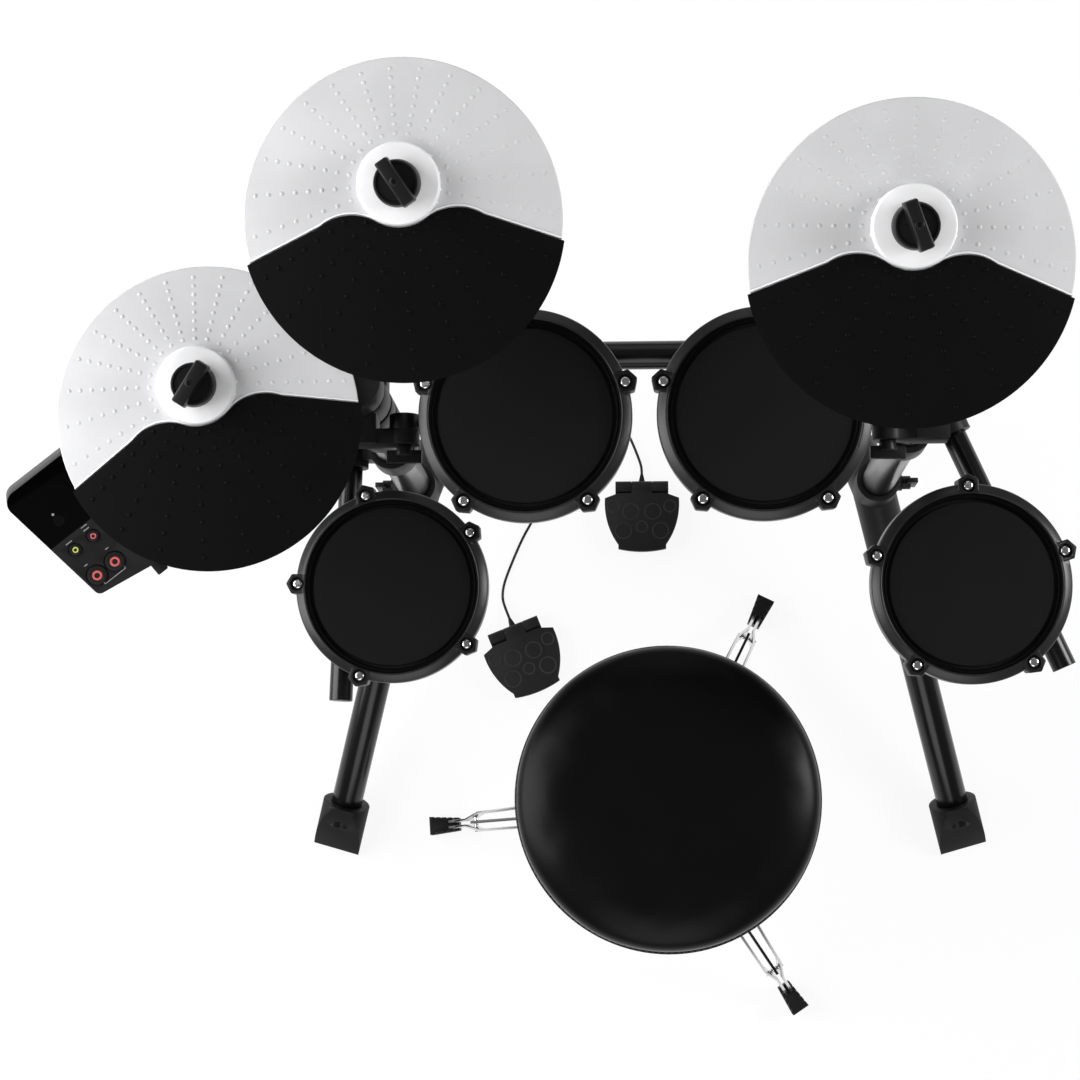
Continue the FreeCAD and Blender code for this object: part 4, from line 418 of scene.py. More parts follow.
def joined(pieces):
    clear()
    for piece in pieces:
        piece.select_set(True)
    bpy.context.view_layer.objects.active = pieces[0]
    bpy.ops.object.join()
    return pieces[0]


def scattered(piece, matrices):
    """Copies of a small piece at those places, joined into one."""
    copies = []
    for matrix in matrices:
        twin = piece.copy()
        twin.data = piece.data.copy()
        twin.data.transform(matrix)
        bpy.context.scene.collection.objects.link(twin)
        copies.append(twin)
    bpy.data.objects.remove(piece)
    return joined(copies)


def fitted(piece, body, look, *nodes, slot=None):
    """Gives a piece its finish and body, and hides the nodes that it stands for."""
    piece.data.materials.clear()
    piece.data.materials.append(finish(look))
    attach(piece, body)
    if nodes:
        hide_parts(*nodes)
    return piece


def two_tone(piece, look, second):
    """Gives the faces that the test picks a second finish."""
    piece.data.materials.append(finish(look))
    for face in piece.data.polygons:
        face.material_index = 1 if second(face) else 0


def body_of_node(node):
    return frame["nodes"][node]["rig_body"]


def dressed(node, look, width=0.8, slot=None, name=None, kept=None):
    """A copy of a CAD node, or of its kept part, with its corners merged and its edges rounded."""
    piece = copied(frame["nodes"][node], name or node + "_finished")
    piece.hide_render = False
    piece.hide_viewport = False
    piece.parent = None
    del piece["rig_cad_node"]
    edit(piece)
    bpy.ops.mesh.remove_doubles(threshold=MERGE_DISTANCE)
    if kept:
        pick_faces(piece, lambda face: not kept(face.calc_center_median()))
        bpy.ops.mesh.delete(type="FACE")
        bpy.ops.mesh.select_all(action="SELECT")
    bpy.ops.mesh.dissolve_limited(angle_limit=math.radians(FLAT_ANGLE))
    close()
    soften(piece, width)
    return fitted(piece, body_of_node(node), look, node, slot=slot)


def turn_z(degrees):
    return Matrix.Rotation(math.radians(degrees), 4, "Z")


def turn_x(degrees):
    return Matrix.Rotation(math.radians(degrees), 4, "X")


def shift(x, y, z):
    return Matrix.Translation((x * MM, y * MM, z * MM))


# Places that the joints give
HINGE_BACK = 7.0
HINGE_HEIGHT = 15.5
JOINTS = {joint["name"]: joint for joint in frame["joints"]}


def place_of(joint):
    return Vector(JOINTS[joint]["pos_m"])


def axis_of(joint):
    return Vector(JOINTS[joint]["axis"])


def frame_at(origin, across, up):
    """A frame at the origin with its X axis across and its Z axis up."""
    up = up.normalized()
    across = (across - up * across.dot(up)).normalized()
    return Matrix.Translation(origin) @ Matrix((across, up.cross(across), up)).transposed().to_4x4()


def pedal_frame(name):
    hinge = name + "_treadle_press"
    floor_place = shift(0, HINGE_BACK, -HINGE_HEIGHT)
    return frame_at(place_of(hinge), axis_of(hinge), Vector((0, 0, 1))) @ floor_place


def cymbal_frame(name):
    return frame_at(place_of(name + "_nut_spin"), axis_of(name + "_rock"), axis_of(name + "_nut_spin"))


RACK = (place_of("left_arm_swing") + place_of("right_arm_swing")) / 2
RACK.z = 0.0
SEAT_MIDDLE = place_of("seat_turn")
SEAT_MIDDLE.z = 0.0


# Pedal leads, in mm from the middle of the rack
LEADS = {
    "kick": {
        "start_angle": 90,
        "route": [(-5.0, 61.0, 3.6), (-8.0, 70.0, 2.0), (-11.4, 79.0, 1.7), (-16.2, 90.5, 1.7),
                  (-23.5, 105.0, 1.7), (-36.0, 122.5, 1.9), (-52.5, 136.0, 2.3), (-69.0, 143.0, 2.7),
                  (-81.0, 143.0, 2.7)],
        "coil_start": (-84.0, 143.0),
        "length": 1.1375,
    },
    "hihat": {
        "start_angle": 0,
        "route": [(-160.0, -103.8, 3.8), (-162.9, -95.0, 2.1), (-163.0, -84.5, 1.7), (-160.0, -71.5, 1.7),
                  (-151.0, -48.5, 1.7), (-140.0, -23.0, 1.7), (-129.0, -4.0, 1.9), (-122.5, 10.0, 2.4),
                  (-119.5, 21.5, 2.7), (-119.5, 30.0, 2.7)],
        "coil_start": (-119.5, 33.0),
        "length": 1.1613,
    },
}
LEAD_EXIT = Vector((0, 10, 6)) * MM
LEAD_STRAIGHT = Vector((0, 16, 6)) * MM
COIL_RADIUS = 26.5
COIL_STEP = 1.85
COIL_STEPS = [-1.0] * 8 + [-1.4, 0.0, 1.4] + [1.0] * 7
COIL_CLIMB = COIL_STEPS.index(0.0)
COIL_LOW = 2.7
COIL_HIGH = 6.3
POINTS_A_HALF_TURN = 8
TAIL = 27.0
INTO_PLUG = 22.0
KICK_SIDE_Y = 133.1
KICK_SIDE_X = -105.4
KICK_TIP_X = -154.0
HIHAT_TIP_Y = 103.0


def coil_points(lead):
    """Turns that wind in on the floor, climb, and wind out again on top."""
    angle = math.radians(lead["start_angle"])
    x, y = lead["coil_start"]
    middle_x = x - COIL_RADIUS * math.cos(angle)
    middle_y = y - COIL_RADIUS * math.sin(angle)
    reach = 1 / math.cos(math.pi / (2 * POINTS_A_HALF_TURN))
    radius, height, points = COIL_RADIUS, COIL_LOW, []
    for half, step in enumerate(COIL_STEPS):
        for i in range(1, POINTS_A_HALF_TURN + 1):
            share = i / POINTS_A_HALF_TURN
            turned_by = angle + math.pi * (half + share)
            out = (radius + step * COIL_STEP * share) * reach
            if half == COIL_CLIMB:
                height = COIL_LOW + (COIL_HIGH - COIL_LOW) * share
            x, y = middle_x + out * math.cos(turned_by), middle_y + out * math.sin(turned_by)
            points.append((x, y, height))
        radius += step * COIL_STEP
    end_x = middle_x + radius * math.cos(angle)
    end_y = middle_y + radius * math.sin(angle)
    for along in (TAIL / 3, TAIL, TAIL + INTO_PLUG):
        points.append((end_x - along * math.sin(angle), end_y + along * math.cos(angle), height))
    return points


def lead_curve(name, points, thickness):
    """One smooth line through the lead's route."""
    curve = bpy.data.curves.new(name, "CURVE")
    curve.dimensions = "3D"
    curve.bevel_depth = thickness / 2
    curve.bevel_resolution = 4
    curve.resolution_u = 6
    curve.use_fill_caps = True
    line = curve.splines.new("NURBS")
    line.points.add(len(points) - 1)
    for point, place in zip(line.points, points):
        point.co = (*place, 1.0)
    line.order_u = 3
    line.use_endpoint_u = True
    piece = bpy.data.objects.new(name, curve)
    bpy.context.scene.collection.objects.link(piece)
    return piece


def of_kick(centre):
    """True on the kick lead's own plug and tie."""
    away = (centre - RACK) / MM
    return away.y > KICK_SIDE_Y or away.x > KICK_SIDE_X


def of_hihat(centre):
    return not of_kick(centre)


def kick_tip(centre):
    """True on the metal tip of the kick lead's plug."""
    return (centre.x - RACK.x) / MM < KICK_TIP_X


def hihat_tip(centre):
    return (centre.y - RACK.y) / MM > HIHAT_TIP_Y


PLUGS = {"kick": (of_kick, kick_tip), "hihat": (of_hihat, hihat_tip)}


class KIT_OT_leads(bpy.types.Operator):
    """Lays the two pedal leads, each wound up and tied, with its plug"""

    bl_idname = "kit.leads"
    bl_label = "Pedal Leads"

    def execute(self, context):
        thickness = context.scene.kit_sizes.cord_thickness
        for name, lead in LEADS.items():
            own, metal = PLUGS[name]
            plug = dressed("cord_plugs", "cord_rubber", 0.35, name=name + "_plug", kept=own)
            two_tone(plug, "screw_chrome", lambda face: metal(face.center))
            pedal = pedal_frame(name)
            start = pedal @ LEAD_EXIT
            laid = [RACK + Vector(place) * MM for place in lead["route"] + coil_points(lead)]
            piece = lead_curve(name + "_lead", [start, pedal @ LEAD_STRAIGHT, *laid], thickness)
            fitted(piece, "frame", "cord_rubber", name + "_cord", name + "_cord_coil")
        return {"FINISHED"}


# Rack
TUBES = ("leg_tubes", "posts", "crossbar", "left_arm", "right_arm")
CLAMPS = ("leg_hubs", "post_clamps", "left_arm_clamp", "right_arm_clamp", "snare_holder",
          "floor_tom_holder", "module_bracket", "cymbal_cups")
TUBE_EDGE = 0.5


class KIT_OT_tubes(bpy.types.Operator):
    """Finishes the painted tubes and rods of the rack"""

    bl_idname = "kit.tubes"
    bl_label = "Rack Tubes"

    def execute(self, context):
        for node in TUBES:
            dressed(node, "black_tube", TUBE_EDGE)
        dressed("mount_rods", "black_rod", TUBE_EDGE)
        return {"FINISHED"}


class KIT_OT_clamps(bpy.types.Operator):
    """Finishes the moulded clamps, hubs, holders and their wing bolts"""

    bl_idname = "kit.clamps"
    bl_label = "Clamps and Bolts"

    def execute(self, context):
        width = context.scene.kit_sizes.edge_round / MM
        for node in CLAMPS:
            dressed(node, "black_moulding", width)
        dressed("clamp_bolts", "black_bolt", width)
        return {"FINISHED"}


class KIT_OT_feet(bpy.types.Operator):
    """Finishes the rubber feet of the rack and the throne"""

    bl_idname = "kit.feet"
    bl_label = "Rubber Feet"

    def execute(self, context):
        dressed("rubber_feet", "black_rubber", context.scene.kit_sizes.edge_round / MM)
        return {"FINISHED"}


# Cymbals, with the turn of each wing nut
CYMBALS = {"crash": -60.0, "ride": -68.0, "hihat": 41.0}
PLATE_RADIUS = 125.0
PLATE_THICKNESS = 2.4
DOME_RADIUS = 786.25
DOME_TOP = 2.864
HUB_OFFSET = 27.0
BOSS_RADIUS = 32.5
BOSS_TOP = 11.4
BOSS_MARGIN = 0.6
BOSS_START = 0.5
SKIN = 2.2
SKIN_RADIUS = 127.4
SKIN_CORNER = 124.7
DOT_SINK = 0.15
DOT_START = 39.0
DOT_MARGIN = 9.0
LIP_START = 0.3
LIP_WIDTH = 2.4
LIP_INSET = 2
LIP_RISE = 0.75
LIP_SINK = 0.3
SHOULDER_END = (64.0, -1.2)
SHOULDER_TOP = (40.0, 6.0)
SHOULDER_START = (21.0, 0.2)
DIP_LOW = (0.0, -6.5)
CORNER_DROP = 26.0
PLATE_DOT = 0.6
ZONE_DOT = 1.2
EDGE_CLEARANCE = 4


def dome(radius, above=0.0):
    """Height of the domed plate at a distance from its middle."""
    return DOME_TOP + above - DOME_RADIUS + math.sqrt(DOME_RADIUS ** 2 - radius ** 2)


def arc_height(x, start, crest, end):
    """Height at x of the circle through three points."""
    (ax, ay), (bx, by), (cx, cy) = start, crest, end
    d = 2 * (ax * (by - cy) + bx * (cy - ay) + cx * (ay - by))
    a, b, c = ax * ax + ay * ay, bx * bx + by * by, cx * cx + cy * cy
    middle_x = (a * (by - cy) + b * (cy - ay) + c * (ay - by)) / d
    middle_y = (a * (cx - bx) + b * (ax - cx) + c * (bx - ax)) / d
    radius = math.hypot(ax - middle_x, ay - middle_y)
    rise = math.sqrt(max(0.0, radius ** 2 - (x - middle_x) ** 2))
    return middle_y + rise if by > min(ay, cy) else middle_y - rise


def skin_edge(x):
    """The playing zone's far edge: two shoulders with a dip round the hub."""
    x = abs(x)
    end_x, end_y = SHOULDER_END
    start_x, start_y = SHOULDER_START
    if x > end_x:
        return end_y - (x - end_x) * (CORNER_DROP + end_y) / (SKIN_CORNER - end_x)
    if x > start_x:
        return arc_height(x, SHOULDER_START, SHOULDER_TOP, SHOULDER_END)
    return arc_height(x, (-start_x, start_y), DIP_LOW, SHOULDER_START)


def cymbal_plate():
    """A domed disc with its raised middle and its hole, in the hub's frame."""
    rings = [PLATE_RADIUS * i / 16 for i in range(16)] + [PLATE_RADIUS - 0.7]
    top = [(radius, dome(radius)) for radius in rings]
    rim = [(PLATE_RADIUS, dome(PLATE_RADIUS, -0.7)), (PLATE_RADIUS, dome(PLATE_RADIUS, -1.8))]
    under = [(radius, dome(radius, -PLATE_THICKNESS)) for radius in reversed(rings)]
    plate = placed(turned("cymbal_plate", top + rim + under, 128), shift(0, -HUB_OFFSET, 0))
    boss = turned("boss", [(0, 0.4), (32.6, 0.4), (32.5, 8.0), (32.1, 9.8), (31.2, 11.0), (29.8, BOSS_TOP),
                           (0, BOSS_TOP)], 96)
    combined(plate, boss, "UNION")
    combined(plate, prism("hub_hole", 40, 7.0, -6, 16), "DIFFERENCE")
    smooth(plate, 30)
    return plate


def dome_sheet(name, rows, place):
    """A sheet over the dome: each corner goes where the function puts its two shares of -1 to 1."""
    clear()
    bpy.ops.mesh.primitive_grid_add(x_subdivisions=120, y_subdivisions=rows, size=2)
    piece = begun(name)
    for vertex in piece.data.vertices:
        x, y, above = place(vertex.co.x, vertex.co.y)
        vertex.co = (x * MM, (y - HUB_OFFSET) * MM, dome(math.hypot(x, y), above) * MM)
    tidy_mesh(piece)
    return piece


def zone_place(across, along):
    x = SKIN_CORNER * math.sin(across * math.pi / 2)
    far, near = skin_edge(x), -math.sqrt(SKIN_RADIUS ** 2 - x ** 2)
    return x, near + (far - near) * (along + 1) / 2, SKIN


def lip_place(across, along):
    x = (SKIN_CORNER - LIP_INSET) * math.sin(across * math.pi / 2)
    rise = SKIN * LIP_RISE if abs(along) < 0.5 else -LIP_SINK
    return x, skin_edge(x) + LIP_START + LIP_WIDTH * (along + 1) / 2, rise


def skin():
    """The rubber playing zone: a sheet laid over the near part of the dome."""
    piece = dome_sheet("playing_zone", 24, zone_place)
    modifier(piece, "SOLIDIFY", thickness=SKIN * MM, offset=-1.0)
    soften(piece, 0.7, 3, 55)
    return piece


def lip():
    """A ridge of the plate along the playing zone's far edge, in the whiter finish: a painted highlight
    along that edge.
    """
    piece = dome_sheet("zone_lip", 3, lip_place)
    smooth(piece, 60)
    return piece


def dot_places(sizes):
    """Places of the dots in rows round the hub: those on the plate, and those under the playing zone."""
    on_plate, on_skin = [], []
    for row in range(sizes.dot_rows):
        angle = math.tau * row / sizes.dot_rows
        across = HUB_OFFSET * math.sin(angle)
        last = math.sqrt(across ** 2 - HUB_OFFSET ** 2 + PLATE_RADIUS ** 2) - across - DOT_MARGIN
        for i in range(sizes.dots_a_row):
            away = DOT_START + (last - DOT_START) * i / (sizes.dots_a_row - 1)
            x, y = away * math.cos(angle), HUB_OFFSET + away * math.sin(angle)
            depth = skin_edge(x) - y if abs(x) < SKIN_CORNER else -1
            if depth < -EDGE_CLEARANCE:
                on_plate.append(shift(x, y - HUB_OFFSET, dome(math.hypot(x, y)) - DOT_SINK))
            elif depth > EDGE_CLEARANCE:
                on_skin.append(shift(x, y - HUB_OFFSET, dome(math.hypot(x, y), SKIN) - DOT_SINK))
    return on_plate, on_skin


def dot(radius, height):
    """A small raised dome."""
    profile = [(radius, 0), (radius * 0.8, height * 0.55), (radius * 0.42, height * 0.92), (0, height)]
    return turned("dot", profile, 10)


def on_boss(face):
    """True on a cymbal's raised middle, whose faces take the painted highlight."""
    near = math.hypot(face.center.x, face.center.y) < (BOSS_RADIUS + BOSS_MARGIN) * MM
    return near and face.center.z > BOSS_START * MM


class KIT_OT_cymbals(bpy.types.Operator):
    """Models the cymbals with their raised dots and rubber playing zones"""

    bl_idname = "kit.cymbals"
    bl_label = "Cymbals"

    def execute(self, context):
        sizes = context.scene.kit_sizes
        on_plate, on_skin = dot_places(sizes)
        radius = sizes.dot_radius / MM
        plate, zone = cymbal_plate(), skin()
        plate_dots = scattered(dot(radius, PLATE_DOT), on_plate)
        zone_dots = scattered(dot(radius, ZONE_DOT), on_skin)
        smooth(plate_dots, 60)
        smooth(zone_dots, 60)
        plate = joined([plate, plate_dots])
        zone = joined([zone, zone_dots])
        ridge = lip()
        for name in CYMBALS:
            seat = cymbal_frame(name)
            body = name + "_cymbal"
            disc = fitted(copied(plate, name + "_disc"), body, "cymbal_grey", name + "_plate")
            # The raised middle is painted whiter: a painted highlight.
            two_tone(disc, "cymbal_painted_highlight", on_boss)
            disc.parent = None
            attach(placed(disc, seat), body)
            fitted(copied(zone, name + "_zone", seat), body, "strike_rubber", name + "_strike_pad")
            # The ridge takes the whiter finish: a painted highlight along the zone's far edge.
            fitted(copied(ridge, name + "_zone_lip", seat), body, "cymbal_painted_highlight", slot="cymbal_grey")
        for master in (plate, zone, ridge):
            bpy.data.objects.remove(master)
        return {"FINISHED"}


NUT_BASE = 12.35
WING_MIDDLE = 21.0
WING_TAPER = (0.96, 0.9, 1)


def wing_nut():
    """A round knob with a dished top and a wing across it."""
    knob = turned("wing_nut", [(0, 0), (11.4, 0), (12, 0.6), (12, 3), (17.4, 3), (18.5, 4.1), (18.3, 7),
                               (17.3, 15), (16.6, 16), (15.2, 16), (14.6, 14.6), (0, 14.2)], 72)
    wing = block("wing", (40, 12, 16), (0, 0, WING_MIDDLE))
    edit(wing)
    mesh = bmesh.from_edit_mesh(wing.data)
    for vertex in mesh.verts:
        vertex.select_set(vertex.co.z > WING_MIDDLE * MM)
    mesh.select_flush_mode()
    bmesh.update_edit_mesh(wing.data)
    bpy.ops.transform.resize(value=WING_TAPER)
    close()
    modifier(wing, "BEVEL", width=1.6 * MM, segments=3, limit_method="ANGLE")
    combined(knob, wing, "UNION")
    combined(knob, prism("stud_bore", 32, 4.4, -1, 24), "DIFFERENCE")
    pin = turned("pin", [(0, 28.6), (3.6, 28.6), (3.6, 29.2), (3.0, 29.6), (1.9, 29.6), (1.5, 29.0),
                         (0, 29.0)], 24)
    smooth(knob, 34)
    smooth(pin, 34)
    return joined([knob, pin])


class KIT_OT_nuts(bpy.types.Operator):
    """Models the wing nuts that hold the cymbals"""

    bl_idname = "kit.nuts"
    bl_label = "Wing Nuts"

    def execute(self, context):
        nut = wing_nut()
        for name, wing_turn in CYMBALS.items():
            seat = cymbal_frame(name) @ shift(0, 0, NUT_BASE) @ turn_z(wing_turn)
            fitted(copied(nut, name + "_nut_knob", seat), name + "_nut", "black_bolt", name + "_wing_nut")
        bpy.data.objects.remove(nut)
        return {"FINISHED"}


# Pads, with the tilt of each and the turn of its lugs
PADS = {"snare": (4.0, 36.0), "floor_tom": (5.0, -4.0), "left_tom": (6.0, 18.0), "right_tom": (6.0, 18.0)}
PIVOT_DROP = 52.0
LUG_CIRCLE = 87.5
LUG_REACH = 10.6
LUG_OUT = 89.1
LUG_SLOPE = (1.2, 3.8)
BAND_RADIUS = 80.2
LUGS = [turn_z(72 * i) @ shift(LUG_CIRCLE, 0, 0) for i in range(5)]


def hoop():
    """The tension hoop: a bevelled ring, a ridged band inside it, six-sided lugs and screw recesses."""
    outside = [(75.8, -2.7), (79.8, -2.7), (79.8, -4.2), (81.3, -4.2), (81.3, -18), (87.4, -18),
               (88.5, -17), (89, -15.4), (89, -0.4), (88.7, 0.6), (87.9, 1.4), (82.0, 4.5), (81.2, 4.8)]
    band = [(80.5, 4.6), (80.0, 3.8), (79.6, 2.0), (78.8, 1.4), (77.8, 1.5), (77.2, 1.8), (76.6, 1.6),
            (76.1, 0.8), (75.8, -0.4), (75.8, -2.7)]
    ring = turned("hoop", outside + band, 120)
    lug = prism("lug", 6, 10.5, -18, 4)
    modifier(lug, "BEVEL", width=1.0 * MM, segments=2, limit_method="ANGLE")
    lugs = scattered(lug, LUGS)
    combined(lugs, prism("band_room", 120, 81.0, -20, 10), "DIFFERENCE")
    combined(ring, lugs, "UNION")
    recess = prism("recess", 36, 6.4, 0.4, 9)
    combined(ring, scattered(recess, LUGS), "DIFFERENCE")
    combined(ring, prism("bowl_room", 120, 81.3, -19, -4.2), "DIFFERENCE")
    soften(ring, 0.4, 2, 50)
    return ring


def hoop_part(centre):
    """Which of the hoop's finishes a face has: ring, band or lug."""
    out = centre.xy.length / MM
    on_lug = any((centre - lug.translation).xy.length < LUG_REACH * MM for lug in LUGS)
    low, high = LUG_SLOPE
    if on_lug and (out > LUG_OUT or not low < centre.z / MM < high):
        return 2
    return 1 if out < BAND_RADIUS else 0


def head():
    """The mesh disc over its flange."""
    disc = turned("head", [(0, -1.5), (70, -1.5), (70, -4.5), (79.5, -4.5), (79.5, -3), (73.1, -3),
                           (73.0, -1.0), (72.6, -0.3), (71.7, 0), (60, 0), (0, 0)], 120)
    smooth(disc, 40)
    return disc


def lug_screw():
    """A domed screw head with its cross."""
    screw = turned("screw", [(0, 0.2), (4.2, 0.2), (4.6, 0.7), (4.6, 2.0), (4.1, 2.8), (3.0, 3.4),
                             (1.4, 3.6), (0, 3.6)], 36)
    bars = [block("bar", (5.4, 1.15, 2.4), (0, 0, 3.4)), block("bar", (1.15, 5.4, 2.4), (0, 0, 3.4))]
    for bar in bars:
        combined(screw, bar, "DIFFERENCE")
    smooth(screw, 34)
    return screw


class KIT_OT_pads(bpy.types.Operator):
    """Models the four mesh pads: hoop with lugs, head, screws and shell"""

    bl_idname = "kit.pads"
    bl_label = "Mesh Pads"

    def execute(self, context):
        rim, disc = hoop(), head()
        parts = [hoop_part(face.center) for face in rim.data.polygons]
        screws = scattered(lug_screw(), LUGS)
        for name, (tilt, lug_turn) in PADS.items():
            joint = JOINTS[name + "_tilt"]
            along = math.degrees(math.atan2(joint["axis"][1], joint["axis"][0]))
            middle = (Matrix.Translation(joint["pos_m"]) @ turn_z(along) @ turn_x(tilt)
                      @ shift(0, 0, PIVOT_DROP) @ turn_z(lug_turn))
            body = name + "_pad"
            ring = fitted(copied(rim, name + "_rim", middle), body, "hoop_rubber", name + "_hoop")
            ring.data.materials.append(finish("hoop_band"))
            ring.data.materials.append(finish("black_bolt"))
            ring.data.polygons.foreach_set("material_index", parts)
            fitted(copied(disc, name + "_mesh", middle), body, "mesh_head", name + "_head")
            fitted(copied(screws, name + "_lug_screws", middle), body, "screw_chrome", name + "_screws")
            dressed(name + "_shell", "pad_shell", context.scene.kit_sizes.edge_round / MM)
        for master in (rim, disc, screws):
            bpy.data.objects.remove(master)
        return {"FINISHED"}


# Sound module
MODULE_RISE = 48.0
MODULE_UP = -axis_of("yellow_button_press")
MODULE_PIVOT = frame_at(place_of("module_tilt"), axis_of("module_tilt"), MODULE_UP)
MODULE_PLACE = MODULE_PIVOT @ shift(0, 0, MODULE_RISE)
BUTTONS = {
    "yellow_button": (-86.0, -9.5, 5.4, "yellow_button"),
    "red_button": (-66.0, -9.5, 5.4, "red_button"),
    "left_pad_button": (-86.0, -40.0, 9.0, "red_button"),
    "right_pad_button": (-66.0, -40.0, 9.0, "red_button"),
}
PROUD = 1.6
FIELD_EDGE = 4.0
SENSOR = (-80.3, 20.1, 5.0)
LAMP = (-80.9, 27.8, 1.2)
MARKS = ((-86.5, -1.0, 6.6, 0.8), (-67.0, 2.5, 6.0, 0.8), (-67.0, -1.0, 6.0, 0.8),
         (-88.0, -26.6, 3.4, 0.8), (-64.1, -26.3, 3.4, 0.8), (-74.1, -51.0, 23.0, 0.7),
         (-85.6, -50.2, 0.7, 2.3), (-62.6, -49.9, 0.7, 2.5))
MARK_HEIGHT = 0.24
LATCH_SIZE = (11, 18, 7)
LATCH_PLACE = (-39.5, -69, -13)


def module_face():
    """The face: gloss black at the back and a matte field round the buttons."""
    face = dressed("module_cover", "module_face", 0.8)
    back = MODULE_PLACE.to_3x3() @ Vector((0, 1, 0))
    edge = MODULE_PLACE @ Vector((0, FIELD_EDGE * MM, 0))
    edit(face)
    bpy.ops.mesh.bisect(plane_co=edge, plane_no=back)
    close()
    two_tone(face, "module_panel",
             lambda part: (part.center - edge).dot(back) < 0 and part.normal.dot(MODULE_UP) > 0.5)


def face_marks():
    """The printed strokes beside the buttons, as thin raised bars."""
    bars = [block("face_marks", (wide, deep, MARK_HEIGHT), (x, y, 0)) for x, y, wide, deep in MARKS]
    return joined(bars)


def face_disc(name, x, y, radius):
    """A small disc let into the face."""
    disc = turned(name, [(0, -0.3), (radius, -0.3), (radius, 0.1), (radius - 0.4, 0.3), (0, 0.2)], 32)
    return placed(disc, MODULE_PLACE @ shift(x, y, 0))


def front_latch():
    """The dark latch that stands out of the case's front edge."""
    latch = block("module_latch", LATCH_SIZE, LATCH_PLACE)
    soften(latch, 1.2)
    return placed(latch, MODULE_PLACE)


def button_cap(name, radius):
    """A round button with a rounded edge and a slightly sunk top."""
    cap = turned(name, [(0, -2.4), (radius, -2.4), (radius, PROUD - 0.7), (radius - 0.25, PROUD - 0.2),
                        (radius - 0.8, PROUD), (radius * 0.66, PROUD), (radius * 0.62, PROUD - 0.3),
                        (0, PROUD - 0.3)], 48)
    smooth(cap, 34)
    return cap


def button_ring(name, radius):
    """The lit ring round a button's middle."""
    inside, outside = radius * 0.28, radius * 0.50
    ring = turned(name, [(inside, PROUD - 0.4), (outside, PROUD - 0.4), (outside, PROUD + 0.05),
                         (radius * 0.46, PROUD + 0.2), (radius * 0.32, PROUD + 0.2),
                         (inside, PROUD + 0.05), (inside, PROUD - 0.4)], 40)
    smooth(ring, 50)
    return ring


class KIT_OT_module(bpy.types.Operator):
    """Models the sound module: case, gloss face, button field, marks and lit buttons"""

    bl_idname = "kit.module"
    bl_label = "Sound Module"

    def execute(self, context):
        dressed("module_case", "module_shell", 1.4)
        dressed("circuit_board", "board_green", 0.2)
        module_face()
        fitted(placed(face_marks(), MODULE_PLACE), "module", "pale_print", slot="module_face")
        fitted(face_disc("face_sensor", *SENSOR), "module", "strike_rubber", slot="module_face")
        fitted(face_disc("face_lamp", *LAMP), "module", "pale_print", slot="module_face")
        fitted(front_latch(), "module", "black_moulding", slot="module_shell")
        for name, (x, y, radius, look) in BUTTONS.items():
            place = MODULE_PLACE @ shift(x, y, 0)
            cap = button_cap(name + "_cap", radius)
            fitted(placed(cap, place), name, "black_moulding", name, slot=look)
            ring = button_ring(name + "_ring", radius)
            fitted(placed(ring, place), name, look)
        return {"FINISHED"}


# Pedals
PEDALS = ("kick", "hihat")
TREADLE_TOP = 21.0
RINGS = ((-31.8, -29.6, 6.8), (-12.3, -35.7, 9.0), (12.3, -35.7, 9.0), (31.8, -29.6, 6.8),
         (-21.0, -57.6, 9.0), (0.0, -53.2, 6.3), (21.0, -57.6, 9.0))
RING_PROFILE = ((-0.9, -0.3), (-0.7, 0.45), (-0.2, 0.6), (0.2, 0.6), (0.7, 0.45), (0.9, -0.3))
TREADLE_EDGE = 1.6


class KIT_OT_pedals(bpy.types.Operator):
    """Finishes the two switch pedals and raises the rings on their foot plates"""

    bl_idname = "kit.pedals"
    bl_label = "Pedals"

    def execute(self, context):
        width = context.scene.kit_sizes.edge_round / MM
        dressed("pedal_bases", "black_pedal", width)
        for name in PEDALS:
            rings = []
            for ring_x, ring_y, radius in RINGS:
                ring = turned("ring", [(radius + out, height) for out, height in RING_PROFILE], 40)
                rings.append(placed(ring, shift(ring_x, ring_y, TREADLE_TOP)))
            smooth(joined(rings), 50)
            grip = rings[0]
            grip.name = name + "_grip_rings"
            placed(grip, pedal_frame(name))
            body = body_of_node(name + "_treadle")
            fitted(grip, body, "pedal_ring", slot="black_pedal")
            dressed(name + "_treadle", "black_pedal", TREADLE_EDGE)
        return {"FINISHED"}


# Throne
SEAT_PLACE = Matrix.Translation(SEAT_MIDDLE)
SEAT_LOW = 351.35
SEAT_HIGH = 409.35
SEAT_RADIUS = 147.0
PIPING = 1.9
PIPING_HEIGHT = 9.0
PUFF_FRAMES = 20
PUFF_PRESSURE = 4.0
HELD_DEPTH = 6.0
COVER_ROOM = 4.5
CROWN_STEPS = 24
CROWN_SHARE = 0.96
CROWN_DROP = 10
CROWN_POWER = 9
SMOOTH_ROUNDS = 6
THRONE_LEGS = (63.9, 183.9, 303.9)
BRACE_HALF_WIDTH = 1.6
BRACE_REACH = 205.0


